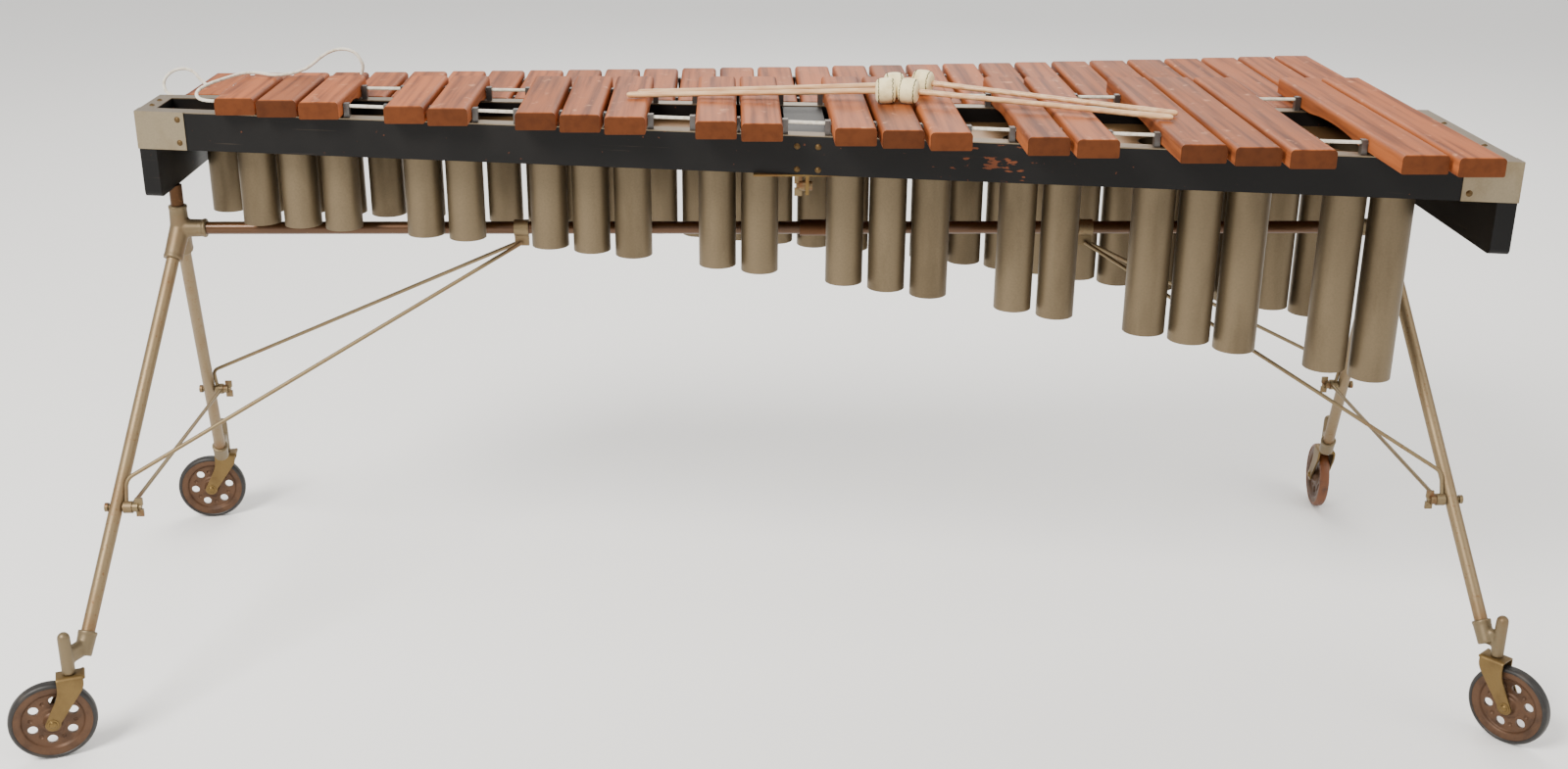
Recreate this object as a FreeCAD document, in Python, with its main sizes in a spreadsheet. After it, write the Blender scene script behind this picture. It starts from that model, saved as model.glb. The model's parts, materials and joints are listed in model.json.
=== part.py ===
"""Four-octave concert xylophone on a wheeled tube stand, as a parametric FreeCAD document.

Frame: +Z up, origin on the floor under the middle of the instrument, +X towards the bass end,
+Y towards the natural bars. Millimetres. The treble end is at -X and the bass end at +X, and the
frame is in two halves that bolt together at the seam.
"""
import FreeCAD
import Part
import Sketcher

import math
import os

from FreeCAD import Placement, Rotation, Vector

DIMS = {
    # frame
    "half_length": 787.5, "seam_x": 14.0, "rail_top": 724.0, "frame_bottom": 678.0,
    "natural_drop": 23.0, "rail_thickness": 20.0, "strip_thickness": 1.2,
    "end_thickness": 21.0, "end_beam_height": 60.0, "beam_round": 7.0, "cross_thickness": 24.0,
    "plate_leaf": 60.0, "corner_sheet": 1.2,
    # centre lines of the four rails, as an offset and a slope along X
    "near_offset": -180.0, "near_slope": -0.165, "sharp_inner_offset": -13.4,
    "sharp_inner_slope": -0.0524, "natural_inner_offset": 58.5, "natural_inner_slope": -0.0176,
    "far_offset": 201.4, "far_slope": 0.0678,
    # bars
    "bar_thickness": 20.6, "bar_lift": 2.5, "bar_gap": 5.2, "upper_pitch": 51.6, "lower_pitch": 55.2,
    "octave_joint_x": 348.1, "sharp_near_offset": -243.3, "sharp_near_slope": -0.2203,
    "sharp_far_y": 46.0, "natural_near_offset": 0.6, "natural_near_slope": -0.0524,
    "natural_far_offset": 238.8, "natural_far_slope": 0.1026, "natural_far_bend": 0.000038,
    "bar_top_radius": 5.0, "bar_end_radius": 2.0, "arch_share": 0.44, "arch_depth": 6.5,
    # suspension
    "cord_diameter": 4.0, "cord_height": 13.0, "post_height": 16.5, "post_depth": 9.0,
    "post_width": 3.2, "outer_post_width": 6.4,
    # resonators
    "upper_tube": 45.5, "lower_tube": 51.0, "tube_wall": 1.2, "plate_drop": 18.0,
    "plate_thickness": 1.5, "stopper_thickness": 3.0,
    "sharp_tube_level": 530.5, "sharp_tube_slope": -0.1111, "sharp_tube_bend": -0.0000603,
    "natural_tube_level": 507.5, "natural_tube_slope": -0.1091, "natural_tube_bend": -0.0000543,
    # stand
    "stand_x": 770.0, "stretcher_z": 562.0, "tube_diameter": 16.0, "tube_bore": 13.0,
    "post_top": 618.0, "leg_foot_x": 843.0, "leg_foot_y": 286.0, "leg_foot_z": 144.0,
    "socket_diameter": 23.0, "socket_length": 42.0, "arm_length": 34.0, "post_socket": 30.0,
    "leg_start": 22.0, "leg_in_elbow": 20.0, "post_start": 14.0, "stretcher_inset": 4.0,
    "sleeve_diameter": 20.5, "sleeve_start": 14.0, "sleeve_length": 68.0,
    # braces and their fasteners
    "bolt_share": 0.705, "bolt_radius": 3.0, "rod_diameter": 5.0, "rod_bend": 34.0,
    "rod_bend_radius": 16.0, "eye_radius": 7.5, "eye_thickness": 5.2, "rod_in_eye": 2.1,
    "clamp_width": 18.0, "clamp_wall": 2.5, "lug_thickness": 6.0, "lug_height": 7.0,
    "nut_radius": 6.0, "nut_height": 7.0, "wing_span": 24.0, "wing_thickness": 3.0,
    "wing_height": 9.0, "bolt_head_radius": 5.5, "bolt_head_height": 4.0,
    # angle brackets at the seam, and screw heads
    "bracket_leaf": 62.0, "bracket_drop": 24.0, "bracket_thickness": 2.0, "bracket_width": 19.0,
    "bracket_bolt_drop": 15.0, "screw_radius": 4.4, "screw_sink": 2.4,
    # casters
    "wheel_diameter": 100.0, "rim_diameter": 82.0, "tyre_width": 16.0, "tyre_round": 4.0,
    "axle_diameter": 6.0, "rivet_radius": 5.0, "rivet_height": 3.0,
    "caster_trail": 25.0, "fork_gap": 21.0, "fork_plate": 2.5, "fork_top": 107.0,
    "stem_diameter": 8.0, "boss_diameter": 15.0, "boss_top": 162.0, "web_width": 11.0,
    "web_height": 24.0, "elbow_wall": 2.8, "elbow_socket": 30.0, "blade_width": 30.0,
    "blade_tip": 9.0, "stem_length": 34.0, "hub_radius": 10.0, "disc_thickness": 5.0,
    "lightening_ring": 25.5, "lightening_radius": 5.8, "lightening_holes": 6.0,
    # mallets
    "mallet_length": 318.0, "shaft_diameter": 7.0, "head_diameter": 30.0, "head_length": 24.0,
    "head_round": 7.0,
}

doc = FreeCAD.newDocument("xylophone")
sheet = doc.addObject("Spreadsheet::Sheet", "dims")
for row, (alias, value) in enumerate(DIMS.items(), start=1):
    sheet.set("A%d" % row, alias)
    sheet.set("B%d" % row, str(value))
    sheet.setAlias("B%d" % row, alias)
doc.recompute()


class Size:
    """The sheet's cells as numbers, so that places follow the same dimensions as the expressions."""

    def __getattr__(self, alias):
        return float(getattr(sheet, alias))


D = Size()
ENDS = {"treble": -1, "bass": 1}
NODES = {}


def publish(label, obj):
    """Name the sub-part whose shape is written to parts/LABEL.step."""
    obj.Label = label
    NODES[label] = obj
    return obj


def bind(obj, **expressions):
    """Bind an object's sizes to expressions on the sheet."""
    for prop, text in expressions.items():
        obj.setExpression(prop, text)
    return obj


def box(corner, length, width, height, turn=0.0):
    """Part::Box with its sizes as expressions, turned about Z at its corner."""
    obj = bind(doc.addObject("Part::Box", "Box"), Length=length, Width=width, Height=height)
    obj.Placement = Placement(Vector(*corner), Rotation(Vector(0, 0, 1), turn))
    return obj


def cylinder(start, direction, radius, height):
    """Part::Cylinder from a point along a direction, with its sizes as expressions."""
    obj = bind(doc.addObject("Part::Cylinder", "Cylinder"), Radius=radius, Height=height)
    obj.Placement = Placement(Vector(*start), Rotation(Vector(0, 0, 1), Vector(*direction)))
    return obj


def cut(base, tool):
    obj = doc.addObject("Part::Cut", "Cut")
    obj.Base = base
    obj.Tool = tool
    return obj


def fuse(*shapes):
    obj = doc.addObject("Part::MultiFuse", "Fuse")
    obj.Shapes = list(shapes)
    return obj


def group(label, pieces):
    """Publish several separate pieces of one kind as a single node."""
    if len(pieces) == 1:
        return publish(label, pieces[0])
    obj = doc.addObject("Part::Compound", "Group")
    obj.Links = pieces
    return publish(label, obj)


def origin_plane(body, role):
    return next(feature for feature in body.Origin.OriginFeatures if feature.Role == role)


def polygon(sketch, corners):
    """Closed polygon whose corners are pairs of expressions on the sheet."""
    points = [Vector(float(sheet.evalExpression(x)), float(sheet.evalExpression(y)), 0)
              for x, y in corners]
    count = len(points)
    for i in range(count):
        sketch.addGeometry(Part.LineSegment(points[i], points[(i + 1) % count]))
    for i in range(count):
        sketch.addConstraint(Sketcher.Constraint("Coincident", i, 2, (i + 1) % count, 1))
    for i, (x, y) in enumerate(corners):
        for kind, text, value in (("DistanceX", x, points[i].x), ("DistanceY", y, points[i].y)):
            index = sketch.addConstraint(Sketcher.Constraint(kind, -1, 1, i, 1, value))
            sketch.setExpression("Constraints[%d]" % index, text)


def prism(corners, bottom, height, role="XY_Plane"):
    """PartDesign body: a polygon on an origin plane, padded by an expression."""
    body = doc.addObject("PartDesign::Body", "Body")
    sketch = body.newObject("Sketcher::SketchObject", "Outline")
    sketch.AttachmentSupport = (origin_plane(body, role), [""])
    sketch.MapMode = "FlatFace"
    polygon(sketch, corners)
    pad = body.newObject("PartDesign::Pad", "Pad")
    pad.Profile = sketch
    pad.setExpression("Length", height)
    body.Tip = pad
    body.Placement = Placement(Vector(0, 0, bottom), Rotation())
    return body


def line_y(rail, x, side=0):
    """Expression for a rail's Y at an X expression: its centre (0), near (-1) or far (1) face."""
    face = " + %d * dims.rail_thickness / 2" % side
    return "(dims.%s_offset + dims.%s_slope * (%s)%s)" % (rail, rail, x, face)


def rail_y(rail, x, side=0):
    offset, slope = getattr(D, rail + "_offset"), getattr(D, rail + "_slope")
    return offset + slope * x + side * D.rail_thickness / 2


def half_span(end):
    """X expressions of one half of the frame, from its outer end to the seam."""
    return "%d * dims.half_length" % ENDS[end], "dims.seam_x"


def strip_of(rail, x_from, x_to, bottom, height):
    """A straight piece as wide as a rail, following its slant, with ends square to X."""
    return prism([(x_from, line_y(rail, x_from, -1)), (x_to, line_y(rail, x_to, -1)),
                  (x_to, line_y(rail, x_to, 1)), (x_from, line_y(rail, x_from, 1))],
                 bottom, height)


# ---------------------------------------------------------------------------------------------
# Wooden frame
# ---------------------------------------------------------------------------------------------

NATURAL_TOP = D.rail_top - D.natural_drop
SHARP_RAILS = ("near", "sharp_inner")
NATURAL_RAILS = ("natural_inner", "far")


def rail_height(rail):
    """Expression for a rail's wooden height, under its metal strip."""
    drop = "" if rail in SHARP_RAILS else " - dims.natural_drop"
    return "dims.rail_top - dims.frame_bottom - dims.strip_thickness" + drop


def inner_end(end):
    """X expression of the inside face of an end rail."""
    return "%d * (dims.half_length - dims.end_thickness)" % ENDS[end]


def make_rails():
    for end in ENDS:
        publish("near_rail_" + end, strip_of("near", *half_span(end), D.frame_bottom,
                                             rail_height("near")))
    for rail in ("sharp_inner", "natural_inner"):
        halves = [strip_of(rail, inner_end(end), "dims.seam_x", D.frame_bottom, rail_height(rail))
                  for end in ENDS]
        group(rail + "_rails", halves)
    group("far_rails", [strip_of("far", *half_span(end), D.frame_bottom, rail_height("far"))
                        for end in ENDS])


def make_rail_strips():
    """Light metal strips along the top of every rail and end rail."""
    strips = end_caps()
    for rail in SHARP_RAILS + NATURAL_RAILS:
        top = D.rail_top if rail in SHARP_RAILS else NATURAL_TOP
        for end in ENDS:
            outer = half_span(end)[0] if rail in ("near", "far") else inner_end(end)
            strips.append(strip_of(rail, outer, "dims.seam_x", top - D.strip_thickness,
                                   "dims.strip_thickness"))
    group("rail_strips", strips)


def span_between(rail_a, side_a, rail_b, side_b, x_from, x_to, bottom, height):
    """A cross piece from a face of one rail to a face of another."""
    return prism([(x_from, line_y(rail_a, x_from, side_a)), (x_to, line_y(rail_a, x_to, side_a)),
                  (x_to, line_y(rail_b, x_to, side_b)), (x_from, line_y(rail_b, x_from, side_b))],
                 bottom, height)


def make_end_rails():
    """End rails: full height under the sharps, stepped down under the naturals."""
    low = "dims.rail_top - dims.frame_bottom - dims.natural_drop - dims.strip_thickness"
    rails = []
    for end in ENDS:
        outer, inner = half_span(end)[0], inner_end(end)
        tall = span_between("near", 1, "sharp_inner", 1, outer, inner, D.frame_bottom,
                            rail_height("near"))
        short = span_between("sharp_inner", 1, "far", -1, outer, inner, D.frame_bottom, low)
        rails.append(fuse(tall, short))
    group("end_rails", rails)


def end_caps():
    """The metal strips on top of the end rails, one on each level."""
    caps = []
    for end in ENDS:
        outer, inner = half_span(end)[0], inner_end(end)
        caps.append(span_between("near", 1, "sharp_inner", 1, outer, inner,
                                 D.rail_top - D.strip_thickness, "dims.strip_thickness"))
        caps.append(span_between("sharp_inner", 1, "far", -1, outer, inner,
                                 NATURAL_TOP - D.strip_thickness, "dims.strip_thickness"))
    return caps


def make_cross_members():
    """The boards either side of the seam, in the two bays that hold no resonators there."""
    boards = []
    for sign in ENDS.values():
        x_from = "dims.seam_x"
        x_to = "dims.seam_x + %d * dims.cross_thickness" % sign
        boards.append(span_between("near", 1, "sharp_inner", -1, x_from, x_to, D.frame_bottom,
                                   rail_height("near")))
        low = "dims.rail_top - dims.frame_bottom - dims.natural_drop"
        boards.append(span_between("sharp_inner", 1, "natural_inner", -1, x_from, x_to,
                                   D.frame_bottom, low))
    group("joint_cross_members", boards)


def make_end_beams():
    """Transverse beams under the frame's ends, from the near rail to the far rail."""
    for end in ENDS:
        outer, inner = half_span(end)[0], inner_end(end)
        beam = span_between("near", -1, "far", 1, outer, inner,
                            D.frame_bottom - D.end_beam_height, "dims.end_beam_height")
        doc.recompute()
        lower_edges = [i for i, edge in enumerate(beam.Shape.Edges, start=1)
                       if abs(edge.CenterOfMass.z - (D.frame_bottom - D.end_beam_height)) < 0.1
                       and abs(edge.tangentAt(edge.FirstParameter).x) > 0.5]
        rounded = doc.addObject("Part::Fillet", "Rounded")
        rounded.Base = beam
        rounded.Edges = [(i, D.beam_round, D.beam_round) for i in lower_edges]
        publish("end_beam_" + end, rounded)


def make_corner_plates():
    """Plates screwed over the four outer corners: a front leaf and a return round the end."""
    plates = []
    for end, sign in ENDS.items():
        outer = half_span(end)[0]
        edge = "%d * (dims.half_length - dims.plate_leaf)" % sign
        for rail, side in (("near", -1), ("far", 1)):
            top = D.rail_top if rail == "near" else NATURAL_TOP
            face = line_y(rail, outer, side), line_y(rail, edge, side)
            out = " + %d * dims.corner_sheet" % side
            front = prism([(outer, face[0]), (edge, face[1]), (edge, face[1] + out),
                           (outer, face[0] + out)], D.frame_bottom, "%s - dims.frame_bottom" % top)
            back = line_y(rail, outer, -side)
            past = "%d * (dims.half_length + dims.corner_sheet)" % sign
            wrap = prism([(outer, face[0] + out), (past, face[0] + out), (past, back),
                          (outer, back)], D.frame_bottom, "%s - dims.frame_bottom" % top)
            plates.append(fuse(front, wrap))
    group("corner_plates", plates)


# ---------------------------------------------------------------------------------------------
# Bars, their cords and posts
# ---------------------------------------------------------------------------------------------

NATURALS = 29
OCTAVE_STEPS = 7


def bar_x(step):
    """X of a bar at a number of natural steps above the lowest C; sharps lie at half steps."""
    pitch = D.lower_pitch if step < OCTAVE_STEPS else D.upper_pitch
    return D.octave_joint_x - pitch * (step - OCTAVE_STEPS)


def bar_x_text(step):
    pitch = "lower_pitch" if step < OCTAVE_STEPS else "upper_pitch"
    return "(dims.octave_joint_x - dims.%s * %s)" % (pitch, step - OCTAVE_STEPS)


def bar_width_text(step):
    pitch = "lower_pitch" if step < OCTAVE_STEPS else "upper_pitch"
    return "dims.%s - dims.bar_gap" % pitch


def bar_width(step):
    return (D.lower_pitch if step < OCTAVE_STEPS else D.upper_pitch) - D.bar_gap


def natural_far(x):
    return D.natural_far_offset + D.natural_far_slope * x + D.natural_far_bend * x * x


NATURAL_STEPS = list(range(NATURALS))
CORD_OVERRUN = 7.0
SHARP_GROUPS = []
for octave in range(4):
    SHARP_GROUPS.append([octave * OCTAVE_STEPS + s + 0.5 for s in (0, 1)])
    SHARP_GROUPS.append([octave * OCTAVE_STEPS + s + 0.5 for s in (3, 4, 5)])
SHARP_STEP_LIST = [step for steps in SHARP_GROUPS for step in steps]


def row_cord(rails, base):
    """Two cutters on the cord lines of a row, as long as the frame."""
    tools = []
    for rail in rails:
        slope = getattr(D, rail + "_slope")
        start = (-D.half_length, rail_y(rail, -D.half_length), base + D.cord_height)
        length = "2 * dims.half_length * sqrt(1 + dims.%s_slope ^ 2)" % rail
        tools.append(cylinder(start, (1, slope, 0), "dims.cord_diameter / 2", length))
    return fuse(*tools)


def make_bar(step, near, far, base, cords):
    """One rosewood bar: rounded top, arched underside, drilled across at its two nodes."""
    x, width = bar_x(step), bar_width(step)
    near_y = float(sheet.evalExpression(near))
    length = float(sheet.evalExpression(far)) - near_y
    bottom = base + D.bar_lift
    top = bottom + D.bar_thickness
    blank = box((x - width / 2, near_y, bottom), bar_width_text(step),
                "%s - (%s)" % (far, near), "dims.bar_thickness")
    doc.recompute()
    edges = []
    for i, edge in enumerate(blank.Shape.Edges, start=1):
        middle, way = edge.CenterOfMass, edge.tangentAt(edge.FirstParameter)
        if abs(way.y) > 0.5:
            radius = D.bar_top_radius if middle.z > top - 0.1 else D.bar_end_radius
            edges.append((i, radius, radius))
        elif abs(way.x) > 0.5 and middle.z > top - 0.1:
            edges.append((i, D.bar_end_radius, D.bar_end_radius))
    rounded = doc.addObject("Part::Fillet", "Rounded")
    rounded.Base = blank
    rounded.Edges = edges
    chord = D.arch_share * length
    arch_r = (chord ** 2 / 4 + D.arch_depth ** 2) / (2 * D.arch_depth)
    centre = (x - width / 2 - 1, near_y + length / 2, bottom + D.arch_depth - arch_r)
    arch = doc.addObject("Part::Cylinder", "Arch")
    span = "dims.arch_share * (%s - (%s))" % (far, near)
    bind(arch, Height="%s + 2" % bar_width_text(step),
         Radius="((%s) ^ 2 / 4 + dims.arch_depth ^ 2) / (2 * dims.arch_depth)" % span)
    arch.Placement = Placement(Vector(*centre), Rotation(Vector(0, 0, 1), Vector(1, 0, 0)))
    return cut(cut(rounded, arch), cords)


def make_bars():
    sharp_cords = row_cord(SHARP_RAILS, D.rail_top)
    natural_cords = row_cord(NATURAL_RAILS, NATURAL_TOP)
    rows = {"sharp": SHARP_STEP_LIST, "natural": NATURAL_STEPS}
    for row_name, steps in rows.items():
        halves = {"treble": [], "bass": []}
        for step in steps:
            x = bar_x_text(step)
            if row_name == "sharp":
                near = "dims.sharp_near_offset + dims.sharp_near_slope * %s" % x
                bar = make_bar(step, near, "dims.sharp_far_y", D.rail_top, sharp_cords)
            else:
                near = "dims.natural_near_offset + dims.natural_near_slope * %s" % x
                far = ("dims.natural_far_offset + dims.natural_far_slope * %s"
                       " + dims.natural_far_bend * %s ^ 2" % (x, x))
                bar = make_bar(step, near, far, NATURAL_TOP, natural_cords)
            halves["treble" if bar_x(step) < D.seam_x else "bass"].append(bar)
        for end, bars in halves.items():
            group("%s_bars_%s" % (row_name, end), bars)


def post_places(groups):
    """(step, outward way) of the posts of a row: one beside every bar, shared inside a group."""
    places = []
    for steps in groups:
        places.append((steps[0] - 0.5, 1))
        places += [(step + 0.5, 0) for step in steps[:-1]]
        places.append((steps[-1] + 0.5, -1))
    return places


def make_posts():
    """Steel posts on the rail strips, drilled for the cord that carries the bars."""
    rows = (("sharp", SHARP_RAILS, D.rail_top, SHARP_GROUPS),
            ("natural", NATURAL_RAILS, NATURAL_TOP, [NATURAL_STEPS]))
    for row_name, rails, base, groups in rows:
        cords = row_cord(rails, base)
        posts = []
        for rail in rails:
            for step, outward in post_places(groups):
                width = "outer_post_width" if outward else "post_width"
                x = bar_x(step) + outward * (D.outer_post_width - D.post_width) / 2
                corner = (x - getattr(D, width) / 2, rail_y(rail, x) - D.post_depth / 2, base)
                posts.append(cut(box(corner, "dims." + width, "dims.post_depth",
                                     "dims.post_height"), cords))
        group(row_name + "_cord_posts", posts)


def make_cords():
    """The taut cords: one along each rail of a row, through every bar and post."""
    rows = (("sharp", SHARP_RAILS, D.rail_top, SHARP_STEP_LIST[-1] + 0.5, SHARP_STEP_LIST[0] - 0.5),
            ("natural", NATURAL_RAILS, NATURAL_TOP, NATURALS - 0.5, -0.5))
    for row_name, rails, base, last, first in rows:
        runs = []
        for rail in rails:
            x_from, x_to = bar_x(last) - CORD_OVERRUN, bar_x(first) + CORD_OVERRUN
            slope = getattr(D, rail + "_slope")
            start = (x_from, rail_y(rail, x_from), base + D.cord_height)
            length = (x_to - x_from) * math.hypot(1, slope)
            runs.append(cylinder(start, (1, slope, 0), "dims.cord_diameter / 2",
                                 "%s" % round(length, 3)))
        group(row_name + "_bar_cord", runs)


# ---------------------------------------------------------------------------------------------
# Resonators
# ---------------------------------------------------------------------------------------------

TUBE_SIDES = {"sharp": ("near", "sharp_inner"), "natural": ("natural_inner", "far")}


def tube_width(step):
    return "lower_tube" if step < OCTAVE_STEPS else "upper_tube"


def make_resonators():
    """Two banks of tubes, each hung from a perforated plate between the rails of its row."""
    stoppers, plates = [], []
    for row_name, steps in (("sharp", SHARP_STEP_LIST), ("natural", NATURAL_STEPS)):
        near_rail, far_rail = TUBE_SIDES[row_name]
        base = D.rail_top if row_name == "sharp" else NATURAL_TOP
        plate_top = base - D.plate_drop
        tubes, holes = {"treble": [], "bass": []}, {"treble": [], "bass": []}
        for step in steps:
            x = bar_x(step)
            y = (rail_y(near_rail, x, 1) + rail_y(far_rail, x, -1)) / 2
            foot = "dims.{0}_tube_level + dims.{0}_tube_slope * {1} + dims.{0}_tube_bend * {1} ^ 2"
            foot = foot.format(row_name, bar_x_text(step))
            bottom = float(sheet.evalExpression(foot))
            wide = "dims.%s / 2" % tube_width(step)
            bore = wide + " - dims.tube_wall"
            tall = "%s - (%s)" % (plate_top, foot)
            outside = cylinder((x, y, bottom), (0, 0, 1), wide, tall)
            inside = cylinder((x, y, bottom), (0, 0, 1), bore, tall)
            side = "treble" if x < D.seam_x else "bass"
            tubes[side].append(cut(outside, inside))
            holes[side].append(outside)
            stoppers.append(cylinder((x, y, bottom + 1), (0, 0, 1), bore, "dims.stopper_thickness"))
        for end, sign in ENDS.items():
            group("%s_resonators_%s" % (row_name, end), tubes[end])
            reach = "dims.seam_x"
            if row_name == "sharp":
                reach += " + %d * dims.cross_thickness" % sign
            blank = span_between(near_rail, 1, far_rail, -1, inner_end(end), reach,
                                 plate_top - D.plate_thickness, "dims.plate_thickness")
            plates.append(cut(blank, fuse(*holes[end])))
    group("resonator_stoppers", stoppers)
    group("resonator_plates", plates)


# ---------------------------------------------------------------------------------------------
# Stand
# ---------------------------------------------------------------------------------------------

SIDES = {"near": -1, "far": 1}
CORNERS = [(side, end) for end in ENDS for side in SIDES]


def crown(end):
    """Where the legs, post and stretcher of one end meet."""
    return Vector(ENDS[end] * D.stand_x, 0, D.stretcher_z)


def leg_foot(side, end):
    return Vector(ENDS[end] * D.leg_foot_x, SIDES[side] * D.leg_foot_y, D.leg_foot_z)


def leg_way(side, end):
    return (leg_foot(side, end) - crown(end)).normalize()


def bolt_point(side, end):
    """The middle of a leg where the braces are bolted to it."""
    return crown(end) + (leg_foot(side, end) - crown(end)) * D.bolt_share


def make_tube(start, way, length):
    outside = cylinder(start, way, "dims.tube_diameter / 2", length)
    return cut(outside, cylinder(start, way, "dims.tube_bore / 2", length))


def make_stand():
    """Crown castings, the four legs they hold, and the posts under the frame's end beams."""
    castings, posts = [], []
    for end, sign in ENDS.items():
        top = crown(end)
        post_foot = top + Vector(0, 0, D.post_start)
        arms = [cylinder(top, (-sign, 0, 0), "dims.socket_diameter / 2", "dims.arm_length"),
                cylinder(top, (0, 0, 1), "dims.socket_diameter / 2 - 1", "dims.post_socket")]
        bores = [cylinder(top, (-sign, 0, 0), "dims.tube_diameter / 2", "2 * dims.arm_length"),
                 cylinder(post_foot, (0, 0, 1), "dims.tube_diameter / 2", "2 * dims.post_socket")]
        for side in SIDES:
            way = leg_way(side, end)
            start = top + way * D.leg_start
            length = "%.3f + dims.leg_in_elbow" % (leg_foot(side, end) - start).Length
            publish("leg_%s_%s" % (side, end), drilled_leg(side, end, start, way, length))
            arms.append(cylinder(top, way, "dims.socket_diameter / 2", "dims.socket_length"))
            bores.append(cylinder(start, way, "dims.tube_diameter / 2", length))
        knuckle = doc.addObject("Part::Sphere", "Knuckle")
        bind(knuckle, Radius="dims.socket_diameter / 2 + 1")
        knuckle.Placement = Placement(top, Rotation())
        castings.append(cut(fuse(knuckle, *arms), fuse(*bores)))
        posts.append(cylinder(post_foot, (0, 0, 1), "dims.tube_diameter / 2",
                              "dims.post_top - dims.stretcher_z - dims.post_start"))
    group("leg_castings", castings)
    group("stand_posts", posts)


def drilled_leg(side, end, start, way, length):
    """A leg tube with the hole of its brace bolt."""
    before = bolt_point(side, end) - Vector(2 * D.tube_diameter, 0, 0)
    hole = cylinder(before, (1, 0, 0), "dims.bolt_radius", "4 * dims.tube_diameter")
    return cut(make_tube(start, way, length), hole)


def make_stretcher():
    """Two tubes end to end in a sleeve, between the crowns."""
    halves = []
    for end, sign in ENDS.items():
        start = crown(end) - Vector(sign * D.stretcher_inset, 0, 0)
        length = ("dims.stand_x - dims.stretcher_inset"
                  " - %d * (dims.sleeve_start + dims.sleeve_length / 2)" % sign)
        halves.append(make_tube(start, (-sign, 0, 0), length))
    group("stretcher_tubes", halves)
    start = (D.sleeve_start, 0, D.stretcher_z)
    sleeve = cut(cylinder(start, (1, 0, 0), "dims.sleeve_diameter / 2", "dims.sleeve_length"),
                 cylinder(start, (1, 0, 0), "dims.tube_diameter / 2", "dims.sleeve_length"))
    publish("stretcher_sleeve", sleeve)


def rounded_path(points, radii):
    """Straight runs joined by tangent arcs, as one wire."""
    edges, start = [], Vector(points[0])
    for before, corner, after, radius in zip(points, points[1:], points[2:], radii):
        before, corner, after = Vector(before), Vector(corner), Vector(after)
        back, on = (before - corner).normalize(), (after - corner).normalize()
        half_turn = (math.pi - back.getAngle(on)) / 2
        tangent = radius * math.tan(half_turn)
        inwards = (back + on).normalize()
        centre = corner + inwards * (radius / math.cos(half_turn))
        arc_from, arc_to = corner + back * tangent, corner + on * tangent
        edges.append(Part.LineSegment(start, arc_from).toShape())
        edges.append(Part.Arc(arc_from, centre - inwards * radius, arc_to).toShape())
        start = arc_to
    edges.append(Part.LineSegment(start, Vector(points[-1])).toShape())
    return Part.Wire(edges)


def swept_round(path, radius):
    """A round bar or cord along a path."""
    start = path.Edges[0]
    way = start.tangentAt(start.FirstParameter)
    circle = Part.Circle(start.valueAt(start.FirstParameter), way, radius)
    pipe = path.makePipeShell([Part.Wire(circle.toShape())], True, False)
    expected = math.pi * radius ** 2 * path.Length
    if abs(pipe.Volume / expected - 1) > 0.01:
        raise RuntimeError("swept volume %.0f, expected %.0f" % (pipe.Volume, expected))
    return pipe


def feature(shape):
    obj = doc.addObject("Part::Feature", "Swept")
    obj.Shape = shape
    return obj


CLAMP_X = {"treble": -340.0, "bass": 381.0}
LEG_CLEARANCE = 1.5


def eye_x(side, end, layer):
    """Inboard face X of a rod eye on its bolt, counted from the leg."""
    leg_half = D.tube_diameter / 2 + LEG_CLEARANCE
    return bolt_point(side, end).x - ENDS[end] * (leg_half + layer * D.eye_thickness)


def eye_centre(side, end, layer):
    """The middle of a rod eye on its bolt."""
    point = bolt_point(side, end)
    return Vector(eye_x(side, end, layer + 0.5), point.y, point.z)


def eye_disc(centre):
    start = centre - Vector(D.eye_thickness / 2, 0, 0)
    return cylinder(start, (1, 0, 0), "dims.eye_radius", "dims.eye_thickness")


def bolt_hole(centre):
    """A cutter on a brace bolt's axis, through a rod eye."""
    start = centre - Vector(2 * D.eye_thickness, 0, 0)
    return cylinder(start, (1, 0, 0), "dims.bolt_radius", "4 * dims.eye_thickness")


def stretcher_clamp(clamp):
    """A ring on the stretcher with a lug below that the two long braces are riveted to."""
    start = clamp - Vector(D.clamp_width / 2, 0, 0)
    ring = cut(cylinder(start, (1, 0, 0), "dims.tube_diameter / 2 + dims.clamp_wall",
                        "dims.clamp_width"),
               cylinder(start, (1, 0, 0), "dims.tube_diameter / 2", "dims.clamp_width"))
    lug_top = D.stretcher_z - D.tube_diameter / 2 - 1
    corner = (start.x, -D.lug_thickness / 2, lug_top - 2 * D.lug_height)
    return fuse(ring, box(corner, "dims.clamp_width", "dims.lug_thickness", "2 * dims.lug_height"))


def long_brace(side, end):
    """From the eye on a leg's bolt up, round a bend and along to the side of the clamp's lug."""
    way = SIDES[side]
    centre = eye_centre(side, end, 0)
    up = Vector(0, -way * 0.35, 1).normalize()
    last = Vector(CLAMP_X[end], way * (D.lug_thickness + D.rod_diameter) / 2,
                  D.stretcher_z - D.tube_diameter / 2 - 1.5 * D.lug_height)
    points = [centre + up * (D.eye_radius - D.rod_in_eye), centre + up * D.rod_bend, last]
    rod = feature(swept_round(rounded_path(points, [D.rod_bend_radius]), D.rod_diameter / 2))
    return cut(fuse(rod, eye_disc(centre)), bolt_hole(centre))


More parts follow.
